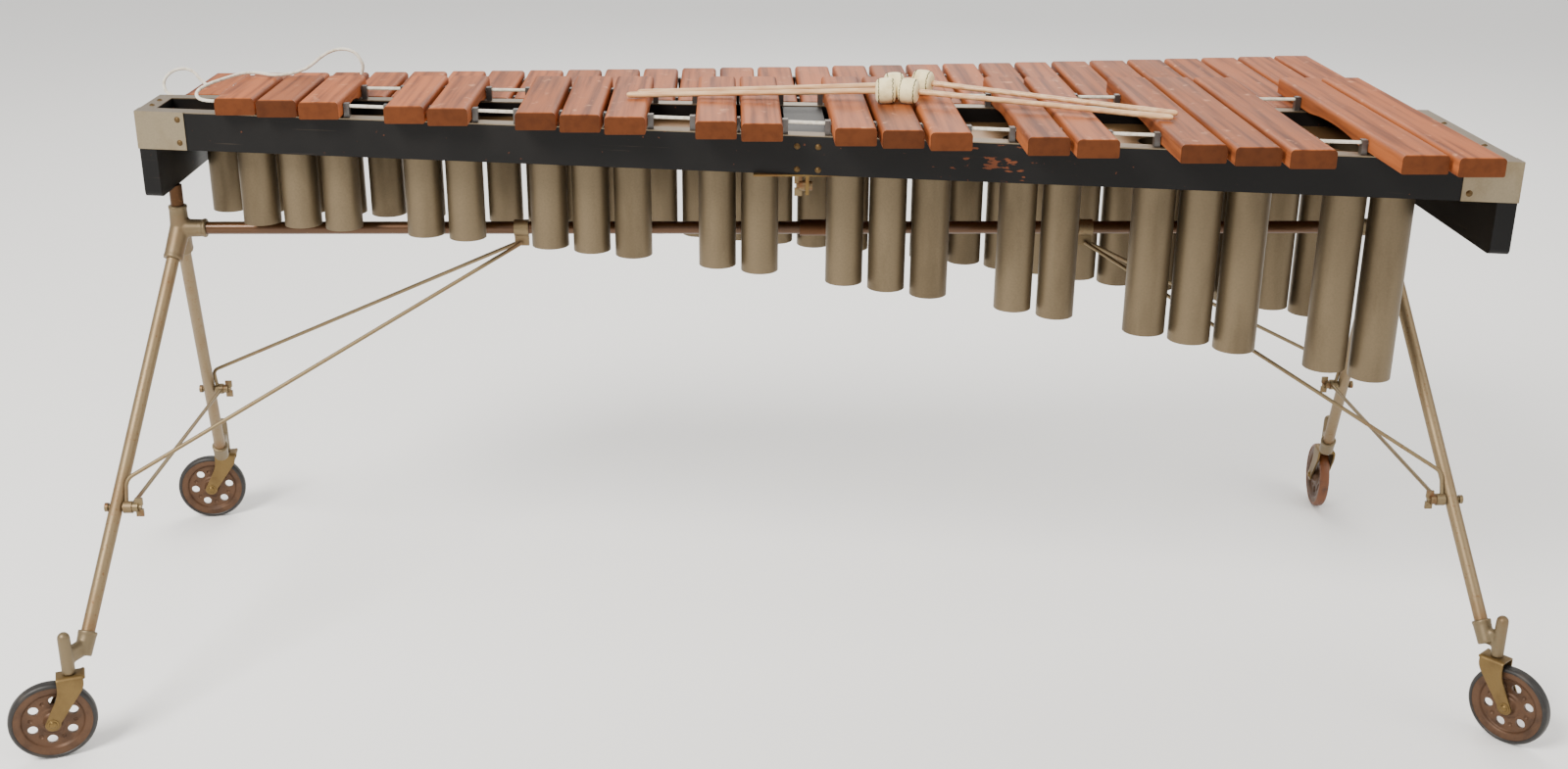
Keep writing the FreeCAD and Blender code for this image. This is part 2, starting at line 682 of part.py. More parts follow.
def cross_rod(end):
    """The rod between the bolts of a pair of legs, with an eye at each end."""
    near, far = eye_centre("near", end, 1), eye_centre("far", end, 1)
    far.x = near.x
    inset = D.eye_radius - D.rod_in_eye
    rod = cylinder(near + Vector(0, inset, 0), far - near, "dims.rod_diameter / 2",
                   "%.3f" % (far.y - near.y - 2 * inset))
    return cut(fuse(rod, eye_disc(near), eye_disc(far)), fuse(bolt_hole(near), bolt_hole(far)))


def make_braces():
    rods, clamps = [], []
    for end in ENDS:
        clamps.append(stretcher_clamp(Vector(CLAMP_X[end], 0, D.stretcher_z)))
        rods += [long_brace(side, end) for side in SIDES]
        rods.append(cross_rod(end))
    group("brace_rods", rods)
    group("brace_clamps", clamps)


def wing_nut(face, way):
    """A hub with two wings, standing on a face along a direction."""
    rotation = Rotation(Vector(0, 0, 1), Vector(*way))
    hub = cylinder(face, way, "dims.nut_radius", "dims.nut_height")
    wing = box((0, 0, 0), "dims.wing_span", "dims.wing_thickness", "dims.wing_height")
    offset = Vector(-D.wing_span / 2, -D.wing_thickness / 2, D.nut_height / 2)
    wing.Placement = Placement(Vector(*face) + rotation.multVec(offset), rotation)
    bore = cylinder(face, way, "dims.bolt_radius", "dims.nut_height / 2 + dims.wing_height")
    return cut(fuse(hub, wing), bore)


def bolt(under_head, way, grip):
    """A round-headed bolt: the head stands back from a face and the shank runs on from it."""
    head = cylinder(under_head, -Vector(*way), "dims.bolt_head_radius", "dims.bolt_head_height")
    shank = cylinder(under_head, way, "dims.bolt_radius", "%.3f + 1.5 * dims.nut_height" % grip)
    return fuse(head, shank)


def make_brace_fasteners():
    """The bolt and wing nut that hold the rod eyes to each leg."""
    bolts, nuts = [], []
    for side, end in CORNERS:
        sign = ENDS[end]
        point = bolt_point(side, end)
        inner = eye_x(side, end, 2)
        head_x = point.x + sign * (D.tube_diameter / 2 + 1.2)
        bolts.append(bolt(Vector(head_x, point.y, point.z), (-sign, 0, 0), abs(head_x - inner)))
        nuts.append(wing_nut((inner, point.y, point.z), (-sign, 0, 0)))
    return bolts, nuts


# ---------------------------------------------------------------------------------------------
# Casters
# ---------------------------------------------------------------------------------------------

RUNNING = 0.05          # radial clearance of the stems and axles
HEAD_ROOM = 0.6         # between a fork's bridge and the boss above it
# x, y and trailing angle of each caster's stem, as the four wheels happen to stand
STEMS = {("near", "treble"): (-858.0, -322.0, 200.0), ("near", "bass"): (858.0, -310.0, -50.0),
         ("far", "treble"): (-856.0, 350.0, 188.0), ("far", "bass"): (861.0, 343.0, 84.0)}


def stem(side, end):
    x, y, angle = STEMS[(side, end)]
    return Vector(x, y, 0), math.radians(angle)


def make_elbows():
    """Cast elbows: a slanted socket for the leg and an upright boss for the caster's stem."""
    elbows = []
    for side, end in CORNERS:
        way, foot = leg_way(side, end), leg_foot(side, end)
        place, _ = stem(side, end)
        boss_foot = Vector(place.x, place.y, D.fork_top + HEAD_ROOM)
        dome_centre = Vector(place.x, place.y, D.boss_top - D.boss_diameter / 2)
        socket = cylinder(foot, way, "dims.tube_diameter / 2 + dims.elbow_wall",
                          "dims.elbow_socket")
        boss = cylinder(boss_foot, (0, 0, 1), "dims.boss_diameter / 2",
                        "%.3f" % (dome_centre.z - boss_foot.z))
        dome = doc.addObject("Part::Sphere", "Dome")
        bind(dome, Radius="dims.boss_diameter / 2")
        dome.Placement = Placement(dome_centre, Rotation())
        web_from = foot + way * D.elbow_socket / 2
        reach = Vector(place.x, place.y, web_from.z) - web_from
        spin = Rotation(Vector(0, 0, 1), math.degrees(math.atan2(reach.y, reach.x)))
        web = box((0, 0, 0), "%.3f" % reach.Length, "dims.web_width", "dims.web_height")
        web.Placement = Placement(
            web_from + spin.multVec(Vector(0, -D.web_width / 2, -D.web_height / 2)), spin)
        bore = cylinder(boss_foot, (0, 0, 1), "dims.stem_diameter / 2 + %s" % RUNNING,
                        "dims.stem_length + 2")
        leg_room = cylinder(foot, way, "dims.tube_diameter / 2", "dims.leg_in_elbow")
        elbows.append(cut(fuse(socket, boss, dome, web), fuse(bore, leg_room)))
    group("caster_elbows", elbows)


def make_fork(side, end):
    """A pressed fork: bridge, two tapering blades and the riveted stem, around the wheel."""
    place, angle = stem(side, end)
    hub_r, blade_w = D.blade_tip, D.blade_width
    half_gap = D.fork_gap / 2
    axle_z = D.wheel_diameter / 2
    swing = Rotation(Vector(0, 0, 1), math.degrees(angle))
    blades = []
    for way in (-1, 1):
        outline = Part.makePolygon([Vector(-blade_w / 2, 0, D.fork_top),
                                    Vector(blade_w / 2, 0, D.fork_top),
                                    Vector(blade_w / 2, 0, D.fork_top - 22),
                                    Vector(D.caster_trail + hub_r, 0, axle_z),
                                    Vector(D.caster_trail - hub_r, 0, axle_z),
                                    Vector(-blade_w / 2, 0, D.fork_top - 12),
                                    Vector(-blade_w / 2, 0, D.fork_top)])
        blade = Part.Face(outline).extrude(Vector(0, D.fork_plate, 0))
        tip = Part.makeCylinder(hub_r, D.fork_plate, Vector(D.caster_trail, 0, axle_z),
                                Vector(0, 1, 0))
        blade = blade.fuse(tip)
        blade.translate(Vector(0, half_gap if way > 0 else -half_gap - D.fork_plate, 0))
        blades.append(blade)
    bridge = Part.makeBox(blade_w, D.fork_gap + 2 * D.fork_plate, D.fork_plate,
                          Vector(-blade_w / 2, -half_gap - D.fork_plate, D.fork_top - D.fork_plate))
    post = Part.makeCylinder(D.stem_diameter / 2, D.stem_length,
                             Vector(0, 0, D.fork_top - D.fork_plate))
    hole = Part.makeCylinder(D.axle_diameter / 2, 2 * blade_w,
                             Vector(D.caster_trail, -blade_w, axle_z), Vector(0, 1, 0))
    shape = bridge.fuse(blades + [post]).cut(hole).removeSplitter()
    obj = feature(shape)
    obj.Placement = Placement(place, swing)
    return obj


def hub_frame(side, end):
    """The wheel's placement: its own Z along the axle."""
    place, angle = stem(side, end)
    along = Vector(math.cos(angle), math.sin(angle), 0)
    centre = place + along * D.caster_trail + Vector(0, 0, D.wheel_diameter / 2)
    across = Vector(-math.sin(angle), math.cos(angle), 0)
    return centre, across


def make_wheel(centre, across):
    """A pressed disc with a ring of holes, a rim and a hub, bored for the axle."""
    half_rim = D.tyre_width / 2 - 1.5
    disc = cylinder(centre - across * D.disc_thickness / 2, across, "dims.rim_diameter / 2 - 3",
                    "dims.disc_thickness")
    rim = cut(cylinder(centre - across * half_rim, across, "dims.rim_diameter / 2",
                       "dims.tyre_width - 3"),
              cylinder(centre - across * half_rim, across, "dims.rim_diameter / 2 - 5",
                       "dims.tyre_width"))
    half_hub = D.fork_gap / 2 - 0.4
    hub = cylinder(centre - across * half_hub, across, "dims.hub_radius", "dims.fork_gap - 0.8")
    holes = [cylinder(centre - across * D.fork_gap, across,
                      "dims.axle_diameter / 2 + %s" % RUNNING, "2 * dims.fork_gap")]
    spin = Rotation(Vector(0, 0, 1), across)
    for i in range(int(D.lightening_holes)):
        turn = 2 * math.pi * i / D.lightening_holes + 0.38
        out = Vector(math.cos(turn), math.sin(turn), 0) * D.lightening_ring
        start = centre + spin.multVec(out - Vector(0, 0, D.disc_thickness))
        holes.append(cylinder(start, across, "dims.lightening_radius", "2 * dims.disc_thickness"))
    return cut(fuse(disc, rim, hub), fuse(*holes))


def make_tyre(centre, across):
    start = centre - across * D.tyre_width / 2
    ring = cut(cylinder(start, across, "dims.wheel_diameter / 2", "dims.tyre_width"),
               cylinder(start, across, "dims.rim_diameter / 2", "dims.tyre_width"))
    doc.recompute()
    rounded = doc.addObject("Part::Fillet", "Rounded")
    rounded.Base = ring
    outer = [i for i, edge in enumerate(ring.Shape.Edges, start=1)
             if edge.Closed and edge.Curve.Radius > D.wheel_diameter / 2 - 0.1]
    rounded.Edges = [(i, D.tyre_round, D.tyre_round) for i in outer]
    return rounded


def make_axle(centre, across):
    """The rivet through the fork and the hub."""
    half_fork = D.fork_gap / 2 + D.fork_plate
    pin = cylinder(centre - across * half_fork, across, "dims.axle_diameter / 2",
                   "dims.fork_gap + 2 * dims.fork_plate")
    heads = [cylinder(centre + across * way * half_fork, across * way, "dims.rivet_radius",
                      "dims.rivet_height") for way in (-1, 1)]
    return fuse(pin, *heads)


def make_caster(side, end):
    corner = "%s_%s" % (side, end)
    centre, across = hub_frame(side, end)
    publish("axle_" + corner, make_axle(centre, across))
    publish("fork_" + corner, make_fork(side, end))
    publish("wheel_" + corner, make_wheel(centre, across))
    publish("tyre_" + corner, make_tyre(centre, across))


# ---------------------------------------------------------------------------------------------
# Metal fittings of the frame
# ---------------------------------------------------------------------------------------------


def make_joint_fittings():
    """Angle brackets under the outer rails, with a bolt and a wing nut across the seam."""
    brackets, bolts, nuts = [], [], []
    thick = D.bracket_thickness
    bolt_z = D.frame_bottom - D.bracket_bolt_drop
    for rail in ("near", "far"):
        y_mid = rail_y(rail, D.seam_x)
        y_edge = y_mid - D.bracket_width / 2
        hole = cylinder((D.seam_x - 2 * thick, y_mid, bolt_z), (1, 0, 0), "dims.bolt_radius",
                        "4 * dims.bracket_thickness")
        for sign in ENDS.values():
            x_leaf = min(D.seam_x, D.seam_x + sign * D.bracket_leaf)
            x_flange = min(D.seam_x, D.seam_x + sign * thick)
            leaf = box((x_leaf, y_edge, D.frame_bottom - thick), "dims.bracket_leaf",
                       "dims.bracket_width", "dims.bracket_thickness")
            flange = box((x_flange, y_edge, D.frame_bottom - D.bracket_drop),
                         "dims.bracket_thickness", "dims.bracket_width", "dims.bracket_drop")
            brackets.append(cut(fuse(leaf, flange), hole))
        bolts.append(bolt(Vector(D.seam_x + thick, y_mid, bolt_z), (-1, 0, 0), 2 * thick))
        nuts.append(wing_nut((D.seam_x - thick, y_mid, bolt_z), (-1, 0, 0)))
    group("joint_brackets", brackets)
    return bolts, nuts


def screw(point, way):
    """A domed screw head on a face."""
    head = doc.addObject("Part::Sphere", "ScrewHead")
    bind(head, Radius="dims.screw_radius")
    head.Placement = Placement(Vector(*point) - Vector(*way) * D.screw_sink, Rotation())
    room = cylinder(point, way, "dims.screw_radius + 1", "dims.screw_radius")
    obj = doc.addObject("Part::Common", "Screw")
    obj.Base, obj.Tool = head, room
    return obj


def make_screws():
    """Screw heads: corner plates, ends of the cross members and end caps."""
    screws = []
    outward = Vector(D.near_slope, -1, 0).normalize()
    for end, sign in ENDS.items():
        x = sign * (D.half_length - D.plate_leaf + 8)
        for z in (D.frame_bottom + 9, D.rail_top - 9):
            screws.append(screw((x, rail_y("near", x, -1) - D.corner_sheet, z), outward))
        x = sign * (D.half_length - D.end_thickness / 2)
        for share in (0.25, 0.75):
            y = rail_y("near", x, 1) * (1 - share) + rail_y("sharp_inner", x, -1) * share
            screws.append(screw((x, y, D.rail_top), (0, 0, 1)))
        x = D.seam_x + sign * D.cross_thickness / 2
        for z in (D.frame_bottom + 6, D.rail_top - 13):
            screws.append(screw((x, rail_y("near", x, -1), z), outward))
    group("frame_screws", screws)


# ---------------------------------------------------------------------------------------------
# Mallets and the loose end of the cord
# ---------------------------------------------------------------------------------------------

BAR_TOP = D.rail_top + D.bar_lift + D.bar_thickness
MALLET_HEADS = ((108.0, -124.0, 175.0), (121.0, -89.0, 178.5), (157.0, -72.0, -24.5),
                (134.6, -125.0, -18.5))


def make_mallets():
    """Four mallets on the bars: centre of each head, and the way its shaft points."""
    shafts, heads = [], []
    for x, y, angle in MALLET_HEADS:
        centre = Vector(x, y, BAR_TOP + D.head_diameter / 2 + 0.2)
        turn = math.radians(angle)
        fall = (D.head_diameter - D.shaft_diameter) / 2 - 0.2
        way = Vector(math.cos(turn) * D.mallet_length, math.sin(turn) * D.mallet_length, -fall)
        way.normalize()
        start = centre - way * (D.head_length / 2)
        shaft = cylinder(start, way, "dims.shaft_diameter / 2", "dims.mallet_length")
        head = cylinder(start, way, "dims.head_diameter / 2", "dims.head_length")
        doc.recompute()
        rounded = doc.addObject("Part::Fillet", "Rounded")
        rounded.Base = head
        rims = [i for i, edge in enumerate(head.Shape.Edges, start=1) if edge.Closed]
        rounded.Edges = [(i, D.head_round, D.head_round) for i in rims]
        heads.append(cut(rounded, shaft))
        shafts.append(shaft)
    group("mallet_shafts", shafts)
    group("mallet_heads", heads)


# Hand-laid routes of the two loose ends at the treble end. Each starts flush on a taut cord's end.
SHARP_TAIL = ((-704, -63.8, 737), (-714, -57, 740.5), (-716, -43, 745), (-709, -26, 748.8),
              (-700, -7, 750.4), (-692, 12, 751), (-684, 27, 751.8), (-673, 36, 752.2),
              (-660, 36, 751.8), (-646, 27, 750.8), (-630, 26, 751), (-616, 34, 752.4),
              (-604, 41, 756), (-594, 44, 763), (-583, 43, 772), (-569, 39, 779.5),
              (-554, 35, 782.5), (-540, 32.5, 779), (-533.5, 31.5, 770), (-530.5, 33.5, 760),
              (-535, 38, 750.5))
NATURAL_TAIL = ((-782, 72.3, 714), (-793, 75, 721), (-795, 80, 734), (-786, 86, 744),
                (-772, 90, 748), (-758, 90, 744), (-750, 86, 733), (-741, 82, 727.5))


def tail(rail, base, last_step, route):
    """A loose cord: straight runs and arcs as large as their runs allow."""
    x = bar_x(last_step) - CORD_OVERRUN
    points = [Vector(x, rail_y(rail, x), base + D.cord_height)] + [Vector(*p) for p in route]
    radii = []
    for before, corner, after in zip(points, points[1:], points[2:]):
        short = min((corner - before).Length, (after - corner).Length)
        half_turn = (corner - before).getAngle(after - corner) / 2
        radii.append(0.45 * short / math.tan(half_turn))
    print("cord radii", [round(radius, 1) for radius in radii])
    path = rounded_path(points, radii)
    print("cord length %.1f" % path.Length)
    return feature(swept_round(path, D.cord_diameter / 2))


def make_loose_cords():
    publish("sharp_cord_tail", tail("near", D.rail_top, SHARP_STEP_LIST[-1] + 0.5, SHARP_TAIL))
    publish("natural_cord_tail", tail("natural_inner", NATURAL_TOP, NATURALS - 0.5, NATURAL_TAIL))


def main():
    make_rails()
    make_rail_strips()
    make_end_rails()
    make_cross_members()
    make_end_beams()
    make_corner_plates()
    make_bars()
    make_posts()
    make_cords()
    make_resonators()
    make_stand()
    make_stretcher()
    make_braces()
    make_elbows()
    for side, end in CORNERS:
        make_caster(side, end)
    brace_bolts, brace_nuts = make_brace_fasteners()
    joint_bolts, joint_nuts = make_joint_fittings()
    group("bolts", brace_bolts + joint_bolts)
    group("wing_nuts", brace_nuts + joint_nuts)
    make_screws()
    make_mallets()
    make_loose_cords()
    export_nodes()


def export_nodes():
    doc.recompute()
    for obj in doc.Objects:
        if "Invalid" in obj.State or "Error" in obj.State:
            raise RuntimeError("%s (%s) is %s" % (obj.Name, obj.Label, obj.State))
    os.makedirs("parts", exist_ok=True)
    for label, obj in NODES.items():
        shape = obj.Shape
        if shape.isNull() or not shape.isValid():
            raise RuntimeError("%s has no valid shape" % label)
        shape.exportStep("parts/%s.step" % label)
    print("%d nodes" % len(NODES))


main()
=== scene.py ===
"""Four-octave concert xylophone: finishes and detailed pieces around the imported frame.

Metres, +Z up, +X towards the bass end, +Y towards the natural bars.
"""
import json
import math

import bmesh
import bpy
import numpy as np
from bpy.props import FloatProperty, FloatVectorProperty, IntProperty, PointerProperty
from bpy.types import Operator, Panel, PropertyGroup
from mathutils import Matrix, Vector


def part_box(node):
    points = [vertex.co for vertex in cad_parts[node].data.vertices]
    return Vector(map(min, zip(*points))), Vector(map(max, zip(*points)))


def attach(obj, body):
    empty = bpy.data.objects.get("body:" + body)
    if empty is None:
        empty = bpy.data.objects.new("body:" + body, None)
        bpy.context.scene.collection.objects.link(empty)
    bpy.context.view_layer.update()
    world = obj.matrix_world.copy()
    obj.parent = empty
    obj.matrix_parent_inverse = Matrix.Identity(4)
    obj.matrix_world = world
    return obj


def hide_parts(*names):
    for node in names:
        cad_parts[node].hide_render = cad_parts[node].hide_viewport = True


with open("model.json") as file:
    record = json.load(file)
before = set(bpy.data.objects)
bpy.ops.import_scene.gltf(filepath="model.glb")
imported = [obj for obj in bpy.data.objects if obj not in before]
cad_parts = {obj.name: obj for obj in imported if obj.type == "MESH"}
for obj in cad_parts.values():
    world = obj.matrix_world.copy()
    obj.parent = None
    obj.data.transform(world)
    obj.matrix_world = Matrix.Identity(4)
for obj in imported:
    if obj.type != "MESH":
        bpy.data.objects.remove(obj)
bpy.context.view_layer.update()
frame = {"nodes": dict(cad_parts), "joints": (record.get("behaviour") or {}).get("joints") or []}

bl_info = {
    "name": "Concert xylophone",
    "version": (1, 0, 0),
    "blender": (4, 5, 0),
    "location": "3D View > Sidebar > Xylophone",
    "description": "Finishes and detailed pieces for a concert xylophone on a caster stand",
    "category": "Object",
}

MM = 0.001
COLLAR = 4 * MM
CORNERS = ("near_treble", "near_bass", "far_treble", "far_bass")
ENDS = {"treble": -1, "bass": 1}


# ---------------------------------------------------------------------------------------------
# Settings
# ---------------------------------------------------------------------------------------------


def linear(red, green, blue):
    """A colour given as 0 to 255 screen values, in linear light."""
    def channel(value):
        value /= 255
        return value / 12.92 if value <= 0.04045 else ((value + 0.055) / 1.055) ** 2.4
    return tuple(channel(value) for value in (red, green, blue))


def colour(name, description, *screen):
    return FloatVectorProperty(name=name, description=description, subtype="COLOR", size=3,
                               min=0.0, max=1.0, default=linear(*screen))


def length(name, description, millimetres):
    return FloatProperty(name=name, description=description, default=millimetres * MM, min=0.0,
                         precision=4, unit="LENGTH")


class XylophoneColours(PropertyGroup):
    """Colours of the finishes."""

    rosewood: colour("Rosewood", "Oiled top of the bars", 158, 88, 48)
    rosewood_dark: colour("Rosewood grain", "Dark grain of the bars", 98, 50, 29)
    rosewood_worn: colour("Rosewood wear", "Struck and rubbed spots on the bars", 206, 146, 110)
    black: colour("Frame paint", "Black paint of the rails", 8, 7, 7)
    bare_wood: colour("Bare wood", "Wood that shows where the paint is worn", 98, 52, 28)
    strip: colour("Rail strip", "Metal strip on the rails", 126, 112, 92)
    nickel: colour("Nickel", "Worn nickel of the corner plates", 138, 126, 104)
    bronze: colour("Resonator plate", "Bronze-coloured carrying plates", 146, 112, 74)
    tube: colour("Resonator tube", "Champagne lacquer of the tubes", 112, 98, 76)
    tube_stain: colour("Tube stain", "Darker stains on the tubes", 74, 62, 44)
    stand: colour("Stand paint", "Aluminium paint of the legs", 128, 110, 82)
    speckle: colour("Speckle", "Brown that shows through the stand's paint", 112, 76, 42)
    casting: colour("Casting", "Aluminium paint of the castings", 114, 100, 76)
    lacquer: colour("Stretcher lacquer", "Brown lacquer of the stretcher", 80, 52, 27)
    steel: colour("Brace steel", "Steel of the braces and bolts", 122, 106, 78)
    rust: colour("Rust", "Rust on steel", 104, 62, 34)
    brass: colour("Fork plate", "Brassy plating of the forks", 112, 90, 52)
    tarnish: colour("Tarnish", "Tarnish on the brassy plating", 86, 66, 36)
    wheel: colour("Wheel", "Brown pressed wheels", 84, 58, 38)
    rubber: colour("Tyre", "Old tyre rubber", 22, 19, 17)
    rubber_baked: colour("Baked tyre", "Rubber gone orange-brown", 104, 58, 24)
    cotton: colour("Cord", "Off-white cord", 232, 226, 210)
    birch: colour("Birch", "Mallet shafts", 222, 184, 138)
    head: colour("Mallet head", "Cream mallet heads", 250, 236, 184)
    seam: colour("Seam", "Dark seams of the mallet heads", 70, 72, 46)
    post: colour("Cord post", "Dark steel of the cord posts", 96, 94, 92)
    floor: colour("Floor", "Pale studio floor", 252, 252, 251)


class XylophoneSizes(PropertyGroup):
    """Sizes of the detailed pieces."""

    cord_diameter: length("Cord diameter", "Diameter of the loose cords", 4.0)
    head_radius: length("Head radius", "Radius of a mallet head", 15.0)
    head_half: length("Half head", "Half the length of a mallet head", 12.0)
    shaft_radius: length("Shaft radius", "Radius of a mallet shaft at its ends", 3.5)
    fork_plate: length("Fork plate", "Thickness of the fork's plate", 2.5)
    fork_gap: length("Fork gap", "Room between the fork's blades", 21.0)
    fork_top: length("Fork top", "Height of the fork's bridge", 107.0)
    fork_half: length("Half bridge", "Half the length of the fork's bridge", 15.0)
    trail: length("Trail", "From the stem to the axle", 25.0)
    wheel_radius: length("Wheel radius", "Outer radius of the tyre", 50.0)
    rim_radius: length("Rim radius", "Outer radius of the wheel's rim", 45.0)
    tyre_half: length("Half tyre", "Half the tyre's width", 8.0)
    hole_ring: length("Hole ring", "Radius of the ring of holes in a wheel", 25.5)
    hole_radius: length("Hole radius", "Radius of a hole in a wheel", 5.8)
    holes: IntProperty(name="Holes", description="Holes in a wheel", default=6, min=3, max=12)
    voxel: length("Casting grain", "Mesh size of the castings", 1.3)


def colours():
    return bpy.context.scene.xylophone_colours


def sizes():
    return bpy.context.scene.xylophone_sizes


# ---------------------------------------------------------------------------------------------
# Node materials
# ---------------------------------------------------------------------------------------------


class Finish:
    """A node material under construction, with short calls for the nodes that finishes share."""

    def __init__(self, name, metallic=0.0, roughness=0.5, coat=0.0, gloss=0.5):
        self.material = bpy.data.materials.new(name)
        self.material.use_nodes = True
        self.tree = self.material.node_tree
        self.shader = next(n for n in self.tree.nodes if n.type == "BSDF_PRINCIPLED")
        self.shader.inputs["Metallic"].default_value = metallic
        self.shader.inputs["Roughness"].default_value = roughness
        self.shader.inputs["Coat Weight"].default_value = coat
        self.shader.inputs["Specular IOR Level"].default_value = gloss
        coordinates = self.node("TexCoord")
        self.place = coordinates.outputs["Object"]
        self.facing = coordinates.outputs["Normal"]

    def feed(self, socket, value):
        if isinstance(value, bpy.types.NodeSocket):
            self.tree.links.new(value, socket)
        elif socket.type == "RGBA" and len(value) == 3:
            socket.default_value = (*value, 1.0)
        else:
            socket.default_value = value

    def node(self, kind, inputs=None, **settings):
        """Add a node; inputs maps a socket's name or number to a value or another socket."""
        node = self.tree.nodes.new("ShaderNode" + kind)
        for key, value in settings.items():
            setattr(node, key, value)
        for key, value in (inputs or {}).items():
            self.feed(node.inputs[key], value)
        return node

    def maths(self, how, first, second=0.0):
        return self.node("Math", {0: first, 1: second}, operation=how).outputs[0]

    def part(self, vector, axis):
        return self.node("SeparateXYZ", {0: vector}).outputs["XYZ".index(axis)]

    def noise(self, scale, detail, at=None):
        """Noise with a scale per metre, as one number or one for each axis."""
        spread = scale if isinstance(scale, tuple) else (scale,) * 3
        place = self.node("Mapping", {"Vector": at or self.place, "Scale": spread}).outputs[0]
        return self.node("TexNoise", {"Vector": place, "Scale": 1.0, "Detail": detail}).outputs[0]

    def window(self, value, low, high):
        """0 below low, 1 above high, and smooth between."""
        return self.node("MapRange", {0: value, 1: low, 2: high},
                         interpolation_type="SMOOTHSTEP").outputs[0]

    def mix(self, factor, first, second, how="MIX"):
        node = self.node("Mix", data_type="RGBA", blend_type=how)
        for index, value in ((0, factor), (6, first), (7, second)):
            self.feed(node.inputs[index], value)
        return node.outputs[2]

    def shade(self, tint, value):
        """A colour made darker or lighter by a factor."""
        grey = self.node("CombineColor", {0: value, 1: value, 2: value}).outputs[0]
        return self.mix(1.0, tint, grey, "MULTIPLY")

    def range(self, value, low, high):
        return self.node("MapRange", {0: value, 3: low, 4: high}).outputs[0]

    def relief(self, height, depth, strength):
        bump = self.node("Bump", {"Height": height, "Distance": depth, "Strength": strength})
        self.feed(self.shader.inputs["Normal"], bump.outputs[0])

    def done(self, tint, roughness=None):
        self.feed(self.shader.inputs["Base Color"], tint)
        if roughness is not None:
            self.feed(self.shader.inputs["Roughness"], roughness)
        return self.material


def rosewood(name, joint_x, pitch, low_pitch, shift):
    """Oiled rosewood, with its own grain and tone on every bar of a row."""
    c = colours()
    f = Finish(name, gloss=0.1)
    along = f.maths("SUBTRACT", joint_x, f.part(f.place, "X"))
    low = f.maths("LESS_THAN", along, -pitch / 2)
    step = f.maths("ADD", pitch, f.maths("MULTIPLY", low, low_pitch - pitch))
    number = f.maths("FLOOR", f.maths("ADD", f.maths("DIVIDE", along, step), shift))
    draw = f.node("TexWhiteNoise", {"W": number}, noise_dimensions="1D")
    tone, jitter = draw.outputs[0], draw.outputs[1]
    moved = f.node("VectorMath", {0: f.place, 1: jitter}, operation="ADD").outputs[0]
    grain = f.noise((110.0, 4.0, 110.0), 5.0, moved)
    pores = f.noise((900.0, 26.0, 900.0), 3.0, moved)
    clouds = f.noise((26.0, 5.0, 26.0), 3.0, moved)
    tint = f.mix(f.window(grain, 0.26, 0.62), c.rosewood_dark, c.rosewood)
    tint = f.shade(tint, f.range(clouds, 0.84, 1.18))
    tint = f.shade(tint, f.range(tone, 0.82, 1.18))
    tint = f.shade(tint, f.range(pores, 0.90, 1.08))
    upward = f.window(f.part(f.facing, "Z"), 0.3, 0.9)
    rubbed = f.window(f.noise((70.0, 45.0, 70.0), 8.0, moved), 0.60, 0.76)
    scuffs = f.maths("MULTIPLY", rubbed, upward)
    tint = f.mix(f.maths("MULTIPLY", scuffs, 0.55), tint, c.rosewood_worn)
    # End faces pointing along Y: darker end grain plus painted shade, the bar colour cut to 0.15
    # to 0.25 of itself
    ends = f.window(f.maths("ABSOLUTE", f.part(f.facing, "Y")), 0.6, 0.95)
    end_grain_and_shade = f.shade(f.shade(c.rosewood, f.range(tone, 0.15, 0.25)), f.range(clouds, 0.8, 1.2))
    tint = f.mix(f.maths("MULTIPLY", ends, 0.92), tint, end_grain_and_shade)
    f.relief(pores, 0.0003, 0.5)
    return f.done(tint, f.range(clouds, 0.40, 0.60))


def worn_paint(name, wear_at=None):
    """Black paint over wood, scratched, and worn through around one spot."""
    c = colours()
    f = Finish(name, gloss=0.2)
    dust = f.noise(9.0, 6.0)
    tint = f.mix(f.window(dust, 0.42, 0.75), c.black, linear(18, 16, 15))
    streaks = f.window(f.noise((7.0, 7.0, 420.0), 5.0), 0.68, 0.74)
    tint = f.mix(f.maths("MULTIPLY", streaks, 0.30), tint, linear(84, 72, 60))
    chips = f.window(f.noise(150.0, 7.0), 0.71, 0.74)
    tint = f.mix(f.maths("MULTIPLY", chips, 0.7), tint, c.bare_wood)
    if wear_at is not None:
        offset = f.node("VectorMath", {0: f.place, 1: wear_at}, operation="SUBTRACT").outputs[0]
        near = f.node("VectorMath", {0: offset, 1: (1 / 0.075, 1 / 0.03, 1 / 0.03)},
                      operation="MULTIPLY").outputs[0]
        far = f.node("VectorMath", {0: near}, operation="LENGTH").outputs["Value"]
        torn = f.noise((60.0, 60.0, 190.0), 8.0)
        level = f.maths("SUBTRACT", torn, f.maths("MULTIPLY", far, 0.16))
        tint = f.mix(f.window(level, 0.49, 0.54), tint, c.bare_wood)
    f.relief(f.noise(260.0, 4.0), 0.0002, 0.4)
    return f.done(tint, f.range(dust, 0.30, 0.60))


def plain_metal(name, tint, stain, metallic=0.8, low=0.35, high=0.6, grain=(6.0, 6.0, 6.0),
                amount=0.45, coat=0.0):
    """Metal with cloudy stains, fine pitting and uneven gloss."""
    f = Finish(name, metallic=metallic, coat=coat)
    clouds = f.noise(grain, 6.0)
    fine = f.noise(420.0, 3.0)
    mixed = f.mix(f.maths("MULTIPLY", f.window(clouds, 0.42, 0.72), amount), tint, stain)
    mixed = f.shade(mixed, f.range(fine, 0.86, 1.12))
    f.relief(fine, 0.00015, 0.3)
    return f.done(mixed, f.range(clouds, low, high))


